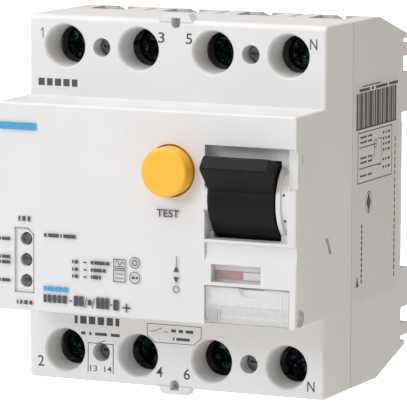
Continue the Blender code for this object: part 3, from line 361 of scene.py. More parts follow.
def placed(made, material, body, replaces=(), angle=32.0):
    """Smooth shading up to an angle, a finish, and the body that the piece moves with."""
    made.data.materials.clear()
    made.data.materials.append(material)
    for polygon in made.data.polygons:
        polygon.material_index = 0
    made.data.shade_smooth()
    made.data.set_sharp_from_angle(angle=math.radians(angle))
    weighting = made.modifiers.new("even shading", "WEIGHTED_NORMAL")
    weighting.keep_sharp = True
    weighting.weight = 100
    if replaces:
        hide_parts(*replaces)
    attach(made, body)
    print(made.name, len(made.data.polygons), "faces on", body)
    return made


# %% [markdown]
# ## Moulded plastics
#
# Housing, toggle and button all come out of spark-eroded moulds. Such a surface has a fine grain that
# breaks up the gloss, and over a few centimetres its colour drifts a little as the melt flowed. Both
# are noise: one at a quarter of a millimetre for the grain, one at about a centimetre for the flow. The
# real grain is finer still and is drawn just coarse enough to show.


# %% Moulded plastic recipe
def moulded(name, tones, roughness, grain_mm, height_mm, patch_mm=14.0, strength=0.5, **sockets):
    """Injection-moulded plastic: drifting colour, grain in the bump and in the gloss."""
    made, tree, shader, place = new_material(name, **sockets)
    flow = add(tree, "ShaderNodeTexNoise", {"Vector": place, "Scale": 1 / (patch_mm * MM), "Detail": 3.0,
                                            "Roughness": 0.5})
    tree.links.new(ramp(tree, flow.outputs["Fac"], [(0.3, tones[0]), (0.7, tones[1])]),
                   shader.inputs["Base Color"])
    grain = add(tree, "ShaderNodeTexNoise", {"Vector": place, "Scale": 1 / (grain_mm * MM), "Detail": 4.0,
                                             "Roughness": 0.6})
    gloss = add(tree, "ShaderNodeMapRange", {"Value": grain.outputs["Fac"], "From Min": 0.3, "From Max": 0.7,
                                             "To Min": roughness - 0.06, "To Max": roughness + 0.06})
    tree.links.new(gloss.outputs["Result"], shader.inputs["Roughness"])
    pits = add(tree, "ShaderNodeBump", {"Height": grain.outputs["Fac"], "Strength": strength,
                                        "Distance": height_mm * MM})
    tree.links.new(pits.outputs["Normal"], shader.inputs["Normal"])
    return made


# Glass-filled polyamide, RAL 7035 gone nearly white: matt, with a soft broad highlight.
housing_plastic = moulded("moulded light grey polyamide", ("#dddcda", "#e1e0de"), 0.48, 0.25, 0.012, IOR=1.53)
# The base is the same plastic with a coarser spark finish, since nobody touches it.
base_plastic = moulded("moulded base polyamide", ("#d8d7d4", "#dcdbd8"), 0.55, 0.35, 0.016, IOR=1.53)
# Black polyamide of the toggle: deep colour, low silky gloss.
toggle_plastic = moulded("moulded black polyamide", ("#0b0c0d", "#151618"), 0.46, 0.30, 0.020, 4.0, IOR=1.53,
                         Specular_IOR_Level=0.15)
# Polycarbonate blend of the button, coloured right through, a little glossier.
button_plastic = moulded("moulded yellow polycarbonate", ("#fbb524", "#fdbb2e"), 0.36, 0.30, 0.006, 8.0,
                         IOR=1.58)
latch_plastic = moulded("moulded acetal latch", ("#d9d8d3", "#e0dfda"), 0.40, 0.30, 0.010, 8.0, IOR=1.48)
lever_plastic = moulded("moulded natural acetal", ("#ddd6c4", "#e6e0d0"), 0.38, 0.30, 0.008, 5.0, IOR=1.48)
relay_plastic = moulded("moulded black relay case", ("#16171b", "#202228"), 0.34, 0.35, 0.012, 6.0, IOR=1.57)
alarm_plastic = moulded("moulded orange relay case", ("#d9691b", "#e27726"), 0.33, 0.35, 0.010, 6.0,
                        IOR=1.57)
carrier_plastic = moulded("moulded thermoset carrier", ("#1d1c1b", "#2a2826"), 0.50, 0.40, 0.020, 4.0,
                          IOR=1.55)
sleeve_plastic = moulded("heat-shrunk capacitor sleeve", ("#16213f", "#1c2a4e"), 0.28, 1.2, 0.020, 5.0,
                         IOR=1.54)
# The position flag is red where it shows with the toggle on, and green above that for off.
flag_plastic, tree, shader, place = new_material("two-colour moulded flag", Roughness=0.45, IOR=1.53)
GREEN_FROM_Z = -9.1 * MM - frame["nodes"]["position_flag"].matrix_world.translation.z
flow = add(tree, "ShaderNodeTexNoise", {"Vector": place, "Scale": 1 / (5 * MM), "Detail": 3.0}).outputs["Fac"]
red = ramp(tree, flow, [(0.3, "#c02a3c"), (0.7, "#cb3446")])
green = ramp(tree, flow, [(0.3, "#1f8a4c"), (0.7, "#2a9a58")])
height = add(tree, "ShaderNodeSeparateXYZ", {"Vector": place}).outputs["Z"]
above = add(tree, "ShaderNodeMath", {0: height, 1: GREEN_FROM_Z}, operation="GREATER_THAN").outputs[0]
# On a mix of colours, input 0 is the factor, 6 and 7 are the two colours, and output 2 is the result.
tone = add(tree, "ShaderNodeMix", {0: above, 6: red, 7: green}, data_type="RGBA").outputs[2]
tree.links.new(tone, shader.inputs["Base Color"])
print("moulded finishes ready")

# %% [markdown]
# ## The front cover
#
# The real cover is one moulding with small radii on its outer edges. The CAD part has the openings and
# the inner walls already, so the finer cover starts as a copy of it and is kept inside a stepped body
# whose edges are rounded in four steps. That body also holds the two slotted lugs and the round rims
# beside the toggle, which stand out past the flat faces. The wells are then cut again with 72-sided
# cutters, because a round rim seen this close shows every facet.

# %% Stepped outer body
TERMINAL_EDGE = 1.2 * MM
FRONT_EDGE = 0.75 * MM
front, step, back = FRONT_Y + SKIN, TERMINAL_Y + SKIN, SEAM_Y + 0.05 * MM
top, brow = HALF_HEIGHT - SKIN, HALF_FRONT - SKIN
stairs = [(back, top), (step, top), (step, brow), (front, brow), (front, -brow), (step, -brow),
          (step, -top), (back, -top)]
body = pulled(stairs, "X", -SIDE_X + SKIN, SIDE_X - SKIN)


def at(value, wanted):
    """Whether a coordinate lies on a plane."""
    return abs(value - wanted) < 1e-6


def edge_group(bm, chosen):
    """The edges whose two ends are both chosen."""
    return [edge for edge in bm.edges if all(chosen(vert.co) for vert in edge.verts)]


rounded(body, edge_group(body, lambda co: at(co.y, step) and at(abs(co.z), top)), TERMINAL_EDGE)
body.edges.ensure_lookup_table()
rim = [edge for edge in body.edges
       if edge.is_manifold and edge.calc_face_angle() > math.radians(60)
       and not all(at(vert.co.y, back) for vert in edge.verts)
       and not all(at(vert.co.y, step) and at(abs(vert.co.z), brow) for vert in edge.verts)]
rounded(body, rim, FRONT_EDGE)
envelope = as_object("envelope", body)
LUG_HALF, LUG_FRONT, LUG_BACK = 3.95 * MM, TERMINAL_Y + 0.04 * MM, TERMINAL_Y + 3.3 * MM
for side in (-1, 1):
    low_z, high_z = sorted((side * 39.5 * MM, side * 41.35 * MM))
    shaped(envelope, box((-LUG_HALF, LUG_FRONT, low_z), (LUG_HALF, LUG_BACK, high_z)), "UNION")
RIM_R, RIM_SIDES = 9.385 * MM, 128
RIM_LEFT, RIM_RIGHT = 13.9 * MM, 31.5 * MM
angles = [i * math.tau / RIM_SIDES for i in range(RIM_SIDES)]
drum = [(AXLE_Y + RIM_R * math.cos(angle), AXLE_Z + RIM_R * math.sin(angle)) for angle in angles]
shaped(envelope, pulled(drum, "X", RIM_LEFT, RIM_RIGHT), "UNION")
outer = bmesh.new()
outer.from_mesh(envelope.data)
bpy.data.objects.remove(envelope)
cover = shaped(merged_copy("front_cover", "housing_cover"), outer, "INTERSECT")
print("cover kept inside its rounded body:", len(cover.data.polygons), "faces")

# %% [markdown]
# ## Terminal wells
#
# Each terminal has a tapered well for a screwdriver, with a soft lead-in at its mouth. A well cutter is
# one spun outline. The four smaller wells between them hold the case screws.

# %% Terminal wells
WELL_SIDES, SMALL_SIDES = 72, 40
screws = [f"{side}_screw_{pole}" for side in ("line", "load") for pole in (1, 2, 3, 4)]
wells = [centre_of(name) for name in screws]
case_wells = [centre_of(f"case_screw_{number}") for number in (1, 2, 3, 4)]
mouth = [(0, -1.2), (6.24, -1.2), (5.30, -0.26), (4.90, 0.10), (4.68, 0.36), (4.58, 0.75), (3.98, 6.6),
         (0, 6.6)]
cutters = [turned_from(TERMINAL_Y, mouth, x, z, WELL_SIDES) for x, z in wells]
small = [(0, -0.8), (2.70, -0.8), (2.06, 0.02), (2.03, 0.20), (2.03, 5.45), (0, 5.45)]
cutters += [turned_from(TERMINAL_Y, small, x, z, SMALL_SIDES) for x, z in case_wells]
shaped(cover, gathered(cutters))
print(len(wells), "terminal wells and", len(case_wells), "small wells cut")

# %% [markdown]
# ## Front openings
#
# The button hole and the three lamp holes are round, so they are cut again with more sides. The
# button's cutter has a fine lead-in, and a V cutter stands where the cover's two panels meet in the
# mould, but both are counted from the foremost plane, so neither reaches the flat face. The slots in
# the two lugs are cut deeper, where a marker strip would clip in.

# %% Front openings
BUTTON_X, BUTTON_Z = centre_of("test_button")
LAMP_X, LAMP_Z = -27.8 * MM, (-6.9 * MM, -11.45 * MM, -16.0 * MM)
hole = [(0, -0.8), (6.6, -0.8), (5.78, 0.02), (5.66, 0.18), (5.66, 1.75), (0, 1.75)]
cutters = [turned_from(FRONT_Y, hole, BUTTON_X, BUTTON_Z, WELL_SIDES)]
lamp = [(0, -0.8), (1.44, -0.8), (1.44, 1.75), (0, 1.75)]
cutters += [turned_from(FRONT_Y, lamp, LAMP_X, z, SMALL_SIDES) for z in LAMP_Z]
PANEL_X, PANEL_INSET = 9.2 * MM, 1.2 * MM
v_groove = [(PANEL_X - 0.16 * MM, front - 0.1 * MM), (PANEL_X + 0.16 * MM, front - 0.1 * MM),
            (PANEL_X, front + 0.07 * MM)]
groove_cutter = bmesh.new()
face = groove_cutter.faces.new(
    [groove_cutter.verts.new((x, y, -HALF_FRONT + PANEL_INSET)) for x, y in v_groove])
extruded(groove_cutter, face, (0, 0, 2 * HALF_FRONT - 2 * PANEL_INSET))
cutters.append(groove_cutter)
shaped(cover, gathered(cutters))

SLOT_R, SLOT_Z, SLOT_END_Z = 0.95 * MM, 39.15 * MM, 40.25 * MM
angles = [math.pi * i / 10 for i in range(11)]
for side in (-1, 1):
    slot = [(SLOT_R * math.cos(angle), side * (SLOT_Z - SLOT_R * math.sin(angle))) for angle in angles]
    slot += [(-SLOT_R, side * SLOT_END_Z), (SLOT_R, side * SLOT_END_Z)]
    shaped(cover, pulled(slot, "Y", TERMINAL_Y - 0.5 * MM, TERMINAL_Y + 2.8 * MM))
placed(cover, housing_plastic, "housing", ["front_cover"])

# %% [markdown]
# ## The rear base
#
# The base is cut from the same plastic and seen from the side and the back. It keeps the CAD part's
# shape and is only drawn in by a twentieth of a millimetre at each side, which leaves room for the
# type label and shows the joint line between the two mouldings.

# %% Rear base
DRAWN_IN = 0.05 * MM
FILM_THICK = 0.02 * MM
BASE_X = SIDE_X - DRAWN_IN
LABEL_X = BASE_X + FILM_THICK
base_low, base_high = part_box("rear_base")
rear = merged_copy("rear_base", "housing_base")
shell = box((-BASE_X, base_low.y - MM, base_low.z - MM), (BASE_X, base_high.y + MM, base_high.z + MM))
shaped(rear, shell, "INTERSECT")
placed(rear, base_plastic, "housing", ["rear_base"])

# %% [markdown]
# ## The toggle
#
# The toggle is a drum with a lever moulded on it. Its outline is drawn once, as the CAD part's is, with
# finer arcs, and its edges are rounded. Keeping the CAD part inside that rounded outline leaves the
# hub, the crank and the pocket as they are.

# %% Toggle
DRUM_R = 9.6 * MM - SKIN


def on_drum(degrees, radius=DRUM_R):
    """A point round the toggle's axle, with the angle counted up from straight ahead."""
    angle = math.radians(degrees)
    return (AXLE_Y - radius * math.cos(angle), AXLE_Z + radius * math.sin(angle))


def from_axle(forward, upward):
    """A point at distances in millimetres ahead of and above the toggle's axle."""
    return (AXLE_Y - forward * MM, AXLE_Z + upward * MM)


outline = [on_drum(-72 + 83 * i / 28) for i in range(29)]
outline += [from_axle(14.08, 6.62), from_axle(14.32, 7.30), from_axle(12.48, 9.28), from_axle(11.88, 9.48)]
outline += [on_drum(54 + 86 * i / 28) for i in range(29)]
outline += [on_drum(angle, 14 * MM) for angle in range(150, 289, 12)]
lever_body = pulled(outline, "X", toggle_low.x + SKIN, toggle_high.x - SKIN)
lever_edges = [edge for edge in lever_body.edges if edge.calc_face_angle(0) > math.radians(28)
               and all(vert.co.y < AXLE_Y + MM for vert in edge.verts)]
rounded(lever_body, lever_edges, 0.30 * MM, 3)
toggle = shaped(merged_copy("toggle", "toggle_lever"), lever_body, "INTERSECT")
placed(toggle, toggle_plastic, "toggle", ["toggle"])

# %% [markdown]
# ## The test button
#
# A button is a turned shape, so half its outline is spun about its axis: a flat cap with a rounded rim,
# the flange that holds it behind the cover, and the stem that reaches the contact.

# %% Test button
cap_y, stem_y = (corner.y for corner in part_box("test_button"))
CAP_R, FLANGE_R, STEM_R = 5.29, 6.28 * MM, 2.49 * MM
cap = [(0, 0), (4.2, 0.0), (CAP_R - 0.62, 0.02), (CAP_R - 0.36, 0.09), (CAP_R - 0.16, 0.24),
       (CAP_R - 0.04, 0.46), (CAP_R, 0.74)]
flange = FRONT_Y + 2.1 * MM
flange_back = flange + 1.1 * MM
outline = [(radius * MM, cap_y + depth * MM) for radius, depth in cap]
outline += [(CAP_R * MM, flange), (FLANGE_R, flange), (FLANGE_R, flange_back), (STEM_R, flange_back),
            (STEM_R, stem_y - 0.3 * MM), (2.2 * MM, stem_y), (0, stem_y)]
button = as_object("test_button_cap", turned(outline, BUTTON_X, BUTTON_Z, 96))
placed(button, button_plastic, "test_button", ["test_button"], angle=40)

# %% [markdown]
# ## Screws
#
# The terminal screws are plated steel with a recess that takes both a flat and a cross blade. The head
# and shank are spun with a rounded rim and a shallow thread, and the recess is cut by two crossed
# blocks with a cone between them. One screw is made, and copied into the eight wells.

# %% Terminal screws
screw_low, screw_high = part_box("line_screw_1")
length = (screw_high.y - screw_low.y) / MM
profile = [(0, 0), (3.05, 0), (3.38, 0.10), (3.55, 0.30), (3.59, 0.55), (3.59, 2.60), (3.45, 2.79),
           (2.30, 2.79)]
PITCH = 0.8
turn = 3.2
while turn < length - 1.0:
    profile += [(2.49, turn), (2.12, turn + PITCH / 2)]
    turn += PITCH
profile += [(2.3, length - 0.5), (1.9, length), (0, length)]


def make_screw(name, x, z):
    """A terminal screw with its cross recess, on the axis through (x, z)."""
    made = as_object(name, turned_from(HEAD_Y, profile, x, z, 48))
    reach, half = 2.2 * MM, 0.5 * MM
    front_y, floor_y = HEAD_Y - MM, HEAD_Y + 1.5 * MM
    tip_y = floor_y + 0.3 * MM
    cross = [box((x - reach, front_y, z - half), (x + reach, floor_y, z + half)),
             box((x - half, front_y, z - reach), (x + half, floor_y + SKIN, z + reach)),
             turned([(0, front_y), (reach, front_y), (1.35 * MM, HEAD_Y), (0.6 * MM, tip_y), (0, tip_y)],
                    x, z, 16)]
    for part in cross:
        shaped(made, part)
    return made


# Each copy is turned further round its axis, because no two screws are ever left at one angle.
TURN_BETWEEN = 37
first_x, first_z = wells[0]
first_screw = make_screw("screw_line_screw_1", first_x, first_z)
screw_pieces = {screws[0]: first_screw}
for name, (x, z) in list(zip(screws, wells))[1:]:
    copy = bpy.data.objects.new("screw_" + name, first_screw.data.copy())
    turn_by = Matrix.Rotation(math.radians(TURN_BETWEEN * len(screw_pieces)), 4, "Y")
    home = Matrix.Translation((x, 0, z)) @ turn_by @ Matrix.Translation((-first_x, 0, -first_z))
    copy.data.transform(home)
    scene.collection.objects.link(copy)
    screw_pieces[name] = copy
print(len(screw_pieces), "screws", round(length, 1), "mm long")


# %% [markdown]
# ## Metals
#
# Plated steel is never one grey: the passivation leaves a faint film whose tint wanders, and drawing or
# rolling leaves fine streaks. A noise stretched along one axis gives the streaks, a second one moves
# the colour, and both move the gloss. On the terminal screws that colour is painted shade and painted
# glints instead. Copper parts darken in patches where hands and heat reached.


# %% Metal recipe
def metal(name, stops, roughness, streak, patch_mm=2.5, height_mm=0.004, spread=0.08):
    """Bare or plated metal: tinted patches, which are painted glints on the screws, fine drawn streaks, gloss
    that follows both.
    """
    made, tree, shader, place = new_material(name, Metallic=1.0)
    drawn = add(tree, "ShaderNodeMapping", {"Vector": place, "Scale": streak})
    lines = add(tree, "ShaderNodeTexNoise", {"Vector": drawn.outputs["Vector"], "Scale": 1 / (0.3 * MM),
                                             "Detail": 3.0})
    film_tint_and_glints = add(tree, "ShaderNodeTexNoise", {"Vector": place, "Scale": 1 / (patch_mm * MM), "Detail": 2.0})
    tree.links.new(ramp(tree, film_tint_and_glints.outputs["Fac"], stops), shader.inputs["Base Color"])
    gloss = add(tree, "ShaderNodeMapRange", {"Value": lines.outputs["Fac"], "From Min": 0.25,
                                             "From Max": 0.75, "To Min": roughness - spread,
                                             "To Max": roughness + spread})
    tree.links.new(gloss.outputs["Result"], shader.inputs["Roughness"])
    marks = add(tree, "ShaderNodeBump", {"Height": lines.outputs["Fac"], "Strength": 0.4,
                                         "Distance": height_mm * MM})
    tree.links.new(marks.outputs["Normal"], shader.inputs["Normal"])
    return made


# Zinc-plated screws with painted shade: the colour is kept nearly black to stand for the shade down in the
# well, and the paler sea-green patches are painted glints.
screw_metal = metal("zinc darkened by painted shade with painted glints", [(0.40, "#0b1011"), (0.56, "#16292a"), (0.70, "#456362")], 0.26,
                    (1, 6, 1), 1.1)
cage_metal = metal("blue passivated zinc", [(0.35, "#9aa3a8"), (0.55, "#b4bbbd"), (0.7, "#a6b3ba")], 0.34,
                   (1, 1, 5))
spring_metal = metal("drawn spring steel", [(0.4, "#8c8f92"), (0.6, "#a9abad")], 0.26, (4, 1, 4))
copper_metal = metal("rolled copper", [(0.35, "#a85f3f"), (0.55, "#c47a52"), (0.7, "#b36a46")], 0.34,
                     (5, 1, 1), 3.0)
case_screw_metal = metal("zinc flake coated steel", [(0.4, "#7d8080"), (0.6, "#8f9292")], 0.55,
                         (1, 1, 1), 1.0)
for name, piece in screw_pieces.items():
    placed(piece, screw_metal, name, [name], angle=35)

# %% [markdown]
# ## The label cover
#
# A clear lid protects a strip of card that the installer writes on. It is a sheet with a thumb notch and
# a hinge barrel along its lower edge. The copy of the CAD part gains fine grooves near its edges and a
# small raised lip round the notch, because such lines are what catches the light on a clear part.

# %% Label cover
lid_low, lid_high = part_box("label_cover")
lid = merged_copy("label_cover", "label_lid")
LID_FRONT = lid_low.y
LID_LEFT, LID_RIGHT = 14.4 * MM, 33.3 * MM
LID_TOP, LID_AXIS_Z = lid_high.z, -20.5 * MM
NOTCH_X = 24.75 * MM
FINE, DEEP = 0.25 * MM, 0.45 * MM


def groove(left, right, low, high, depth):
    """A cutter for one straight groove in the lid's face."""
    return box((left, LID_FRONT - MM, low), (right, LID_FRONT + depth, high))


grooves = [groove(x, x + 0.2 * MM, LID_AXIS_Z + 2.2 * MM, LID_TOP - 0.9 * MM, FINE)
           for x in (LID_LEFT + 1.25 * MM, LID_RIGHT - 1.45 * MM)]
grooves.append(groove(LID_LEFT + 1.9 * MM, LID_RIGHT - 1.9 * MM, LID_AXIS_Z + 1.9 * MM,
                      LID_AXIS_Z + 2.15 * MM, FINE))
grooves += [groove(x, x + 0.25 * MM, LID_AXIS_Z - 2.5 * MM, LID_AXIS_Z + 1.5 * MM, DEEP)
            for x in (LID_LEFT + 2.6 * MM, LID_LEFT + 3.3 * MM)]
shaped(lid, gathered(grooves))
ridge = [(3.05, 0.55), (3.05, 0.01), (3.45, -0.12), (3.85, 0.01), (3.85, 0.55), (3.05, 0.55)]
lip = turned_from(LID_FRONT, ridge, NOTCH_X, LID_TOP, 64)
bmesh.ops.bisect_plane(lip, geom=lip.verts[:] + lip.edges[:] + lip.faces[:],
                       plane_co=(0, 0, LID_TOP - 0.1 * MM), plane_no=(0, 0, 1), clear_outer=True)
bmesh.ops.holes_fill(lip, edges=[edge for edge in lip.edges if edge.is_boundary], sides=0)
bmesh.ops.scale(lip, vec=(1, 1, 0.7), verts=lip.verts, space=Matrix.Translation((-NOTCH_X, 0, -LID_TOP)))
shaped(lid, lip, "UNION")


def clear_plastic(name, opacity):
    """Clear polycarbonate: a thin gloss over what lies behind, hazed by fine scratches."""
    made, tree, shader, place = new_material(name, IOR=1.585, Alpha=opacity)
    scratches = add(tree, "ShaderNodeTexNoise", {"Vector": place, "Scale": 1 / (1.5 * MM), "Detail": 5.0})
    tree.links.new(ramp(tree, scratches.outputs["Fac"], [(0.35, "#f1f1ef"), (0.65, "#fafaf9")]),
                   shader.inputs["Base Color"])
    haze = add(tree, "ShaderNodeMapRange", {"Value": scratches.outputs["Fac"], "From Min": 0.3,
                                            "From Max": 0.7, "To Min": 0.05, "To Max": 0.16})
    tree.links.new(haze.outputs["Result"], shader.inputs["Roughness"])
    return made


# The lid is thicker and moulded rougher than the small window, so it veils the card more.
clear = clear_plastic("clear polycarbonate lid", 0.34)
window_clear = clear_plastic("clear polycarbonate window", 0.16)
placed(lid, clear, "label_cover", ["label_cover"])

# %% [markdown]
# ## Printing
#
# Terminal numbers, the word TEST and the on and off marks are pad-printed in dark grey ink. Where the
# real device carries names and ratings, plain bars of the same size stand in for them. Ink has real
# thickness, a few hundredths of a millimetre, so every mark is a thin solid and not a picture.

# %% Ink and drawing helpers
PAD_INK, LABEL_INK = 0.025 * MM, 0.02 * MM


def printing_ink(name, tones, roughness=0.6):
    """A matt ink whose tone drifts a little where it lies thinner."""
    made, tree, shader, place = new_material(name, Roughness=roughness)
    speckle = add(tree, "ShaderNodeTexNoise", {"Vector": place, "Scale": 1 / (0.5 * MM), "Detail": 3.0})
    tree.links.new(ramp(tree, speckle.outputs["Fac"], [(0.3, tones[0]), (0.7, tones[1])]),
                   shader.inputs["Base Color"])
    return made


ink = printing_ink("pad printing ink", ("#3f4044", "#505155"))
blue_ink = printing_ink("blue printing ink", ("#2f95c8", "#45a5d2"), 0.55)
# This grey is painted shade, used only for the line round the lamp frame.
frame_shade_ink = printing_ink("grey ink for the painted shade line of the lamp frame", ("#8f9091", "#9fa0a1"))


class Sheet:
    """A printed face: marks are drawn across and up, in millimetres, then laid on the face."""

    def __init__(self, facing, level, thickness=PAD_INK):
        self.facing = facing
        self.level = level
        self.thickness = thickness
        self.parts = []

    def stroke(self, start, end, width):
        """A straight line of ink."""
        start, end = Vector(start), Vector(end)
        along = end - start
        bm = bmesh.new()
        spin = Matrix.Rotation(math.atan2(along.y, along.x), 4, "Z")
        size = Matrix.Diagonal((along.length, width, 1, 1))
        middle = Matrix.Translation((*((start + end) / 2), 0))
        bmesh.ops.create_cube(bm, size=1, matrix=middle @ spin @ size)
        self.parts.append(bm)

    def path(self, points, width, closed=False):
        """Strokes from point to point, each lengthened by half its width to close the corners."""
        pairs = list(zip(points, points[1:])) + ([(points[-1], points[0])] if closed else [])
        for start, end in pairs:
            start, end = Vector(start), Vector(end)
            extra = (end - start).normalized() * width / 2
            self.stroke(start - extra, end + extra, width)

    def patch(self, points):
        """A filled outline."""
        bm = bmesh.new()
        face = bm.faces.new([bm.verts.new((x, z, -0.5)) for x, z in points])
        extruded(bm, face, (0, 0, 1))
        self.parts.append(bm)

    def ring(self, centre, radius, width, across=1.0):
        """A circle or an oval drawn as a line."""
        bm = bmesh.new()
        half = width / 2
        loop = [bm.verts.new((radius + dx, 0, dz)) for dx, dz in
                ((-half, -0.5), (half, -0.5), (half, 0.5), (-half, 0.5))]
        face = bm.faces.new(loop)
        bmesh.ops.spin(bm, geom=[face, *face.edges[:], *loop], cent=(0, 0, 0), axis=(0, 0, 1),
                       dvec=(0, 0, 0), angle=math.tau, steps=40, use_merge=True, use_duplicate=False)
        bmesh.ops.delete(bm, geom=[f for f in bm.faces if abs(f.normal.z) < 0.01 and len(
            {round(math.atan2(v.co.y, v.co.x), 3) for v in f.verts}) == 1], context="FACES_ONLY")
        bmesh.ops.scale(bm, vec=(across, 1, 1), verts=bm.verts)
        bmesh.ops.translate(bm, vec=(*centre, 0), verts=bm.verts)
        self.parts.append(bm)

    def letters(self, text, low, high, weight=0.008):
        """Plain lettering stretched to fill a box, for numbers and other generic marks."""
        curve = bpy.data.curves.new("lettering", "FONT")
        curve.body = text
        curve.extrude = 0.5
        curve.offset = weight
        curve.resolution_u = 4
        made = bpy.data.objects.new("lettering", curve)
        scene.collection.objects.link(made)
        bpy.context.view_layer.update()
        mesh = bpy.data.meshes.new_from_object(made.evaluated_get(bpy.context.evaluated_depsgraph_get()))
        bpy.data.objects.remove(made)
        bm = bmesh.new()
        bm.from_mesh(mesh)
        bmesh.ops.remove_doubles(bm, verts=bm.verts, dist=1e-5)
        xs, ys = [v.co.x for v in bm.verts], [v.co.y for v in bm.verts]
        wide, tall = max(xs) - min(xs), max(ys) - min(ys)
        bmesh.ops.translate(bm, vec=(-min(xs), -min(ys), 0), verts=bm.verts)
        bmesh.ops.scale(bm, vec=((high[0] - low[0]) / wide, (high[1] - low[1]) / tall, 1), verts=bm.verts)
        bmesh.ops.translate(bm, vec=(*low, 0), verts=bm.verts)
        self.parts.append(bm)

    def words(self, low, high, sizes, gap=0.25, fill=0.7):
        """A line of print reduced to short bars, one for each word size given."""
        total = sum(sizes) + gap * (len(sizes) - 1)
        unit = (high[0] - low[0]) / total
        middle, thick = (low[1] + high[1]) / 2, (high[1] - low[1]) * fill
        x = low[0]
        for size in sizes:
            self.stroke((x, middle), (x + size * unit, middle), thick)
            x += (size + gap) * unit

    def laid(self, name, material, slot="housing"):
        """All marks turned onto their face as one thin piece."""
        bm = gathered(self.parts)
        bmesh.ops.scale(bm, vec=(MM, MM, self.thickness), verts=bm.verts)
        if self.facing == "front":
            turn = Matrix(((1, 0, 0, 0), (0, 0, -1, self.level), (0, 1, 0, 0), (0, 0, 0, 1)))
        else:
            turn = Matrix(((0, 0, 1, self.level), (1, 0, 0, 0), (0, 1, 0, 0), (0, 0, 0, 1)))
        bmesh.ops.transform(bm, matrix=turn, verts=bm.verts)
        bmesh.ops.recalc_face_normals(bm, faces=bm.faces)
        made = linked(name, bm)
        made.data.materials.append(material)
        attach(made, "housing")
        print(name, len(made.data.polygons), "faces of ink")
        return made


# %% [markdown]
# ## Marks on the terminal faces
#
# Poles are numbered in pairs from left to right with the neutral last. A small contact drawn round one
# of the lower wells shows where the signal contact comes out, and the box beside it shows a switch.

# %% Terminal face marks
faces = Sheet("front", step)
faces.path([(-32.1, 36.5), (-31.6, 37.0), (-31.6, 35.0)], 0.22)
for text, low, high in (("3", (-4.1, 34.9), (-2.6, 37.2)),
                        ("5", (2.4, 34.9), (3.9, 37.2)), ("N", (31.1, 34.9), (32.8, 37.2)),
                        ("2", (-32.9, -37.4), (-31.4, -35.0)), ("4", (-4.3, -37.7), (-2.8, -35.4)),
                        ("6", (2.2, -37.8), (3.7, -35.4)), ("N", (31.1, -38.2), (32.8, -35.9)),
                        ("13", (-20.2, -37.6), (-18.5, -36.3)), ("14", (-16.8, -37.6), (-15.0, -36.3))):
    faces.letters(text, low, high)
faces.words((-32.7, 24.3), (-23.3, 26.3), (1, 0.9, 1, 1, 0.9), 0.35, 0.8)
faces.words((-24.0, -27.4), (-13.2, -25.5), (0.5, 1, 1, 1, 1, 0.6), 0.4, 0.9)
faces.words((-22.4, -29.8), (-13.1, -28.9), (0.6, 0.3, 1.6, 1.2), 0.5, 0.75)
faces.path([(-20.7, -37.8), (-20.7, -31.4), (-18.8, -31.4)], 0.18)
faces.path([(-18.8, -31.5), (-16.6, -30.7)], 0.16)
faces.path([(-16.6, -31.4), (-14.65, -31.4), (-14.65, -37.8)], 0.18)
faces.path([(-6.5, -26.1), (6.3, -26.1), (6.3, -28.6), (4.5, -30.1), (-4.6, -30.1), (-6.5, -28.7)], 0.14,
           True)
faces.path([(-5.9, -27.7), (-4.9, -27.7), (-3.1, -26.9)], 0.14)
faces.path([(-2.5, -27.7), (-1.6, -27.7)], 0.14)
faces.words((-0.8, -27.8), (4.4, -26.9), (0.9, 0.8, 1.4), 0.5, 0.75)
faces.words((-0.4, -29.5), (3.6, -28.7), (0.3, 2.4), 0.3, 0.75)
faces.laid("terminal_face_print", ink)

# %% [markdown]
# ## Marks on the front
#
# The front carries TEST under the button, the up and down arrows of the toggle with a line for on and a
# ring for off, the legends beside the three lamps, and blocks of ratings.

# %% Front marks
marks = Sheet("front", front)
marks.letters("TEST", (3.2, -0.15), (8.4, 1.5), 0.012)
marks.path([(7.85, -8.4), (7.80, -10.6)], 0.16)
marks.patch([(7.15, -11.7), (8.40, -11.7), (7.78, -10.4)])
marks.patch([(7.15, -12.8), (7.78, -14.1), (8.40, -12.8)])
marks.ring((7.76, -15.4), 0.68, 0.17)
marks.words((-29.4, -3.1), (-26.6, -1.9), (0.3, 0.5, 0.4), 0.4, 0.9)
marks.words((-29.8, -21.1), (-26.1, -20.1), (0.2, 0.3, 0.5, 0.4), 0.3, 0.85)
for z in (-7.5, -11.4, -12.6, -16.5):
    marks.words((-34.0, z), (-31.4, z + 0.9), (0.3, 1.5), 0.2, 0.75)
marks.words((-23.3, -6.25), (-15.8, -5.2), (0.4, 1.6, 0.2, 1.8), 0.25, 0.75)
for low_z, width in ((-11.5, -7.8), (-13.1, -8.7), (-14.6, -9.8)):
    marks.words((-16.6, low_z), (-15.2, low_z + 0.9), (0.4, 0.8), 0.3, 0.8)
    marks.words((-13.9, low_z + 0.15), (-13.2, low_z + 0.7), (1,), 0.2, 0.6)
    marks.words((-12.2, low_z), (width, low_z + 1.0), (0.6, 2.4, 0.8), 0.2, 0.75)
for z in (-11.8, -14.7):
    tall = 1.9 if z > -12 else 2.5
    marks.path([(-6.8, z), (-4.1, z), (-4.1, z + tall), (-6.8, z + tall)], 0.16, True)
marks.path([(-6.4, -10.6), (-5.9, -10.2), (-5.4, -11.2), (-4.9, -10.3), (-4.5, -10.8)], 0.14)
marks.path([(-6.4, -11.4), (-4.5, -11.4)], 0.12)
marks.path([(-6.3, -13.0), (-4.6, -13.0)], 0.14)
marks.path([(-6.3, -13.9), (-4.6, -13.9)], 0.14)
marks.ring((-1.85, -10.4), 1.15, 0.15)
marks.ring((-1.85, -10.4), 0.55, 0.2)
marks.ring((-1.85, -13.6), 1.20, 0.15)
marks.words((-2.6, -14.0), (-1.1, -13.2), (1, 0.6), 0.3, 0.6)
marks.words((-23.4, -20.4), (-17.9, -18.4), (0.8, 1, 1, 1, 1.1), 0.35, 0.85)
marks.stroke((-17.3, -19.6), (-16.6, -19.6), 0.3)
marks.words((-16.2, -20.6), (-13.9, -18.4), (1, 1), 0.2, 1.0)
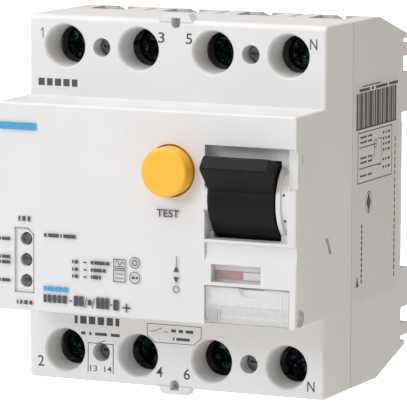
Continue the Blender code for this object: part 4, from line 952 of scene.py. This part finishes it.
marks.stroke((-13.6, -20.9), (-13.1, -18.6), 0.18)
marks.words((-12.9, -20.4), (-12.0, -18.9), (1,), 0.2, 0.8)
marks.stroke((-11.8, -20.9), (-11.3, -18.6), 0.18)
marks.words((-10.9, -20.8), (-7.9, -18.4), (1, 1, 1), 0.2, 1.0)
marks.stroke((-7.6, -19.8), (-7.1, -19.8), 0.3)
marks.words((-6.9, -20.9), (-5.6, -18.6), (1,), 0.2, 1.0)
marks.path([(-4.6, -20.2), (-3.0, -20.2)], 0.3)
marks.path([(-3.8, -21.0), (-3.8, -19.4)], 0.3)
marks.laid("front_print", ink)
# The grey line round the lamp frame is painted shade: it stands for the shadow along the frame's step.
recess = Sheet("front", FRONT_Y + 0.3 * MM)
recess.path([(-30.3, -18.4), (-25.9, -18.4), (-25.9, -5.9), (-27.2, -4.6), (-30.3, -4.6)], 0.20, True)
recess.laid("lamp_frame_painted_shade_line", frame_shade_ink)
accent = Sheet("front", front)
accent.words((-23.4, -17.9), (-17.6, -16.6), (0.7, 1.2, 1.4, 1.0), 0.2, 0.8)
accent.stroke((-34.0, 17.4), (-25.2, 17.4), 1.5)
accent.laid("front_accent_print", blue_ink)

# %% [markdown]
# ## The type label
#
# A thin grey film on the right side carries a bar block, a wiring sketch and lines of small print. The
# film and its ink are separate pieces, so each has its own gloss, and the bars hold no code.

# %% Type label
film_tint_and_glints, tree, shader, place = new_material("polyester label film", Roughness=0.38, IOR=1.64)
weave = add(tree, "ShaderNodeTexNoise", {"Vector": place, "Scale": 1 / (1.2 * MM), "Detail": 4.0})
tree.links.new(ramp(tree, weave.outputs["Fac"], [(0.3, "#cfccc8"), (0.7, "#d5d2ce")]),
               shader.inputs["Base Color"])
waves = add(tree, "ShaderNodeBump", {"Height": weave.outputs["Fac"], "Strength": 0.15, "Distance": 0.02 * MM})
tree.links.new(waves.outputs["Normal"], shader.inputs["Normal"])
LABEL_FRONT, LABEL_BACK, LABEL_FOOT, LABEL_HEAD = -28.2 * MM, -2.6 * MM, -21.3 * MM, 26.2 * MM
label = pulled([(LABEL_FRONT, LABEL_FOOT), (LABEL_BACK, LABEL_FOOT), (LABEL_BACK, LABEL_HEAD),
                (LABEL_FRONT, LABEL_HEAD)], "X", BASE_X - 0.01 * MM, LABEL_X)
rounded(label, [edge for edge in label.edges
                if at(edge.verts[0].co.y, edge.verts[1].co.y) and at(edge.verts[0].co.z, edge.verts[1].co.z)],
        0.8 * MM, 4)
placed(as_object("type_label", label), film_tint_and_glints, "housing")
side = Sheet("side", LABEL_X + 0.004 * MM, LABEL_INK)
side.stroke((-23.6, 25.4), (-13.4, 25.4), 0.28)
side.words((-25.4, 24.2), (-2.9, 25.0), (1.4, 0.3, 1.6, 1.2), 0.25, 0.8)
widths = (0.9, 0.5, 1.6, 0.4, 1.3, 0.6, 2.0, 0.5, 0.9, 1.7, 0.6, 1.1, 0.4, 1.8, 0.5, 1.2, 0.6, 1.0)
across = -27.0
GAP, BARS_WIDE, BARS_FOOT, BARS_HEAD = 0.30, 23.2, 16.3, 24.0
unit = BARS_WIDE / (sum(widths) + GAP * (len(widths) - 1))
for width in widths:
    middle = across + width * unit / 2
    side.stroke((middle, BARS_FOOT), (middle, BARS_HEAD), width * unit)
    across += (width + GAP) * unit
side.stroke((-27.2, 16.25), (-3.6, 16.25), 0.3)
side.path([(-26.0, 15.4), (-6.2, 15.4), (-6.2, 4.5), (-26.0, 4.5)], 0.22, True)
for z in (14.3, 13.2, 9.8, 8.8, 5.9):
    side.words((-24.6, z - 0.3), (-17.8, z + 0.4), (1.2, 0.8), 0.25, 0.6)
side.stroke((-25.2, 12.2), (-15.4, 12.2), 0.24)
side.stroke((-25.2, 7.6), (-12.9, 7.6), 0.24)
side.path([(-16.4, 12.2), (-16.4, 10.0), (-18.2, 8.9)], 0.2)
side.ring((-15.8, 12.3), 0.9, 0.2)
side.path([(-14.2, 13.2), (-12.4, 13.2), (-12.4, 7.4), (-14.2, 7.4)], 0.18)
for z in (14.2, 12.9, 11.7, 10.4, 8.3, 6.6):
    side.words((-11.6, z - 0.35), (-7.3, z + 0.35), (0.7, 0.5, 0.9), 0.5, 0.8)
side.ring((-19.5, -0.15), 2.3, 0.2, 0.75)
side.patch([(-20.8, -0.15), (-19.5, -2.4), (-18.2, -0.15), (-19.5, 2.1)])
for row in range(11):
    side.stroke((-23.4, -4.6 - row * 1.2), (-23.4, -5.5 - row * 1.2), 0.7)
for row in range(21):
    side.stroke((-4.2, 12.6 - row * 1.5), (-4.2, 11.5 - row * 1.5), 0.5)
side.patch([(-26.6, -18.0), (-24.9, -18.0), (-25.75, -15.6)])
side.laid("type_label_print", ink, "card")

# %% [markdown]
# ## Finishes for the parts that stay
#
# Springs, bars, coils and boards keep their CAD shape and only need their real finish. Windings and
# laminates are patterns with a direction: bands across the tape-wound core, wire turns on its bobbin,
# tracks on the board.


# %% Patterned finishes
def banded(name, stops, pitch_mm, height_mm, roughness, direction="Y", metallic=0.0):
    """Fine parallel bands, as tape in a core or wire in a winding, with the relief to match."""
    made, tree, shader, place = new_material(name, Roughness=roughness, Metallic=metallic)
    bands = add(tree, "ShaderNodeTexWave", {"Vector": place, "Scale": 0.314 / (pitch_mm * MM),
                                            "Distortion": 0.6, "Detail": 2.0},
                wave_type="BANDS", bands_direction=direction)
    tree.links.new(ramp(tree, bands.outputs["Fac"], stops), shader.inputs["Base Color"])
    relief = add(tree, "ShaderNodeBump", {"Height": bands.outputs["Fac"], "Strength": 0.8,
                                          "Distance": height_mm * MM})
    tree.links.new(relief.outputs["Normal"], shader.inputs["Normal"])
    return made


core_finish = banded("tape-wound core", [(0.2, "#3a3b3d"), (0.8, "#5c5d60")], 0.5, 0.05, 0.40, "Z", 0.6)
coil_finish = banded("enamelled winding wire", [(0.15, "#6e2f16"), (0.8, "#b5602f")], 0.4, 0.12, 0.35, "Z")
# Thermoset board: green solder mask over tracks that show as paler lines.
board, tree, shader, place = new_material("solder-masked laminate", Roughness=0.38, IOR=1.55)
flat = add(tree, "ShaderNodeMapping", {"Vector": place, "Rotation": (math.pi / 2, 0, 0)})
tracks = add(tree, "ShaderNodeTexBrick", {
    "Vector": flat.outputs["Vector"], "Scale": 1 / (9 * MM), "Mortar Size": 0.03,
    "Color1": linear("#14502f"), "Color2": linear("#184f31"), "Mortar": linear("#2f7a4c")})
tree.links.new(tracks.outputs["Color"], shader.inputs["Base Color"])
raised = add(tree, "ShaderNodeBump", {"Height": tracks.outputs["Fac"], "Strength": 0.6,
                                      "Distance": 0.03 * MM})
tree.links.new(raised.outputs["Normal"], shader.inputs["Normal"])
# Writing card under the lid: uncoated, with paper fibres.
card, tree, shader, place = new_material("uncoated card", Roughness=0.85)
fibres = add(tree, "ShaderNodeTexNoise", {"Vector": place, "Scale": 1 / (0.4 * MM), "Detail": 6.0,
                                          "Roughness": 0.7})
tree.links.new(ramp(tree, fibres.outputs["Fac"], [(0.3, "#e4e3df"), (0.7, "#efeeea")]),
               shader.inputs["Base Color"])
felt = add(tree, "ShaderNodeBump", {"Height": fibres.outputs["Fac"], "Strength": 0.3, "Distance": 0.02 * MM})
tree.links.new(felt.outputs["Normal"], shader.inputs["Normal"])
# Light guides of smoke-tinted acrylic: dull and dark while the lamps are off.
smoke, tree, shader, place = new_material("smoked acrylic", IOR=1.49)
cloud = add(tree, "ShaderNodeTexNoise", {"Vector": place, "Scale": 1 / (0.9 * MM), "Detail": 3.0})
tree.links.new(ramp(tree, cloud.outputs["Fac"], [(0.35, "#2f302d"), (0.65, "#6a6b65")]),
               shader.inputs["Base Color"])
dull = add(tree, "ShaderNodeMapRange", {"Value": cloud.outputs["Fac"], "From Min": 0.3, "From Max": 0.7,
                                        "To Min": 0.25, "To Max": 0.45})
tree.links.new(dull.outputs["Result"], shader.inputs["Roughness"])
print("patterned finishes ready")

# %% Finishes on the CAD parts
finishes = {
    "rail_latch": latch_plastic, "line_clamp": cage_metal, "load_clamp": cage_metal,
    "line_bar": copper_metal, "load_lead": copper_metal, "bridge_contact": copper_metal,
    "test_contact": copper_metal, "contact_carrier": carrier_plastic, "opening_spring": spring_metal,
    "toggle_pin": spring_metal, "toggle_spring": spring_metal, "drive_link": spring_metal,
    "test_spring": spring_metal, "latch_pin": spring_metal, "trip_plunger": spring_metal,
    "transformer_core": core_finish, "sensing_coil": coil_finish, "position_flag": flag_plastic,
    "trip_relay": relay_plastic, "latch_lever": lever_plastic, "window_lens": window_clear,
    "label_card": card,
    "circuit_board": board, "alarm_relay": alarm_plastic, "supply_capacitor": sleeve_plastic,
    "light_guide": smoke, "case_screw": case_screw_metal}
for name, node in frame["nodes"].items():
    if node.hide_render:
        continue
    node.data.materials.clear()
    node.data.materials.append(next(finish for start, finish in finishes.items() if name.startswith(start)))
print(sum(not node.hide_render for node in frame["nodes"].values()), "CAD parts shown")

# %% [markdown]
# ## Size
#
# The finer pieces are meant to stay inside the CAD model's box, which is taken when the model is loaded.
# At the end the scene is brought up to date.

# %% Size and finish
bpy.context.view_layer.update()
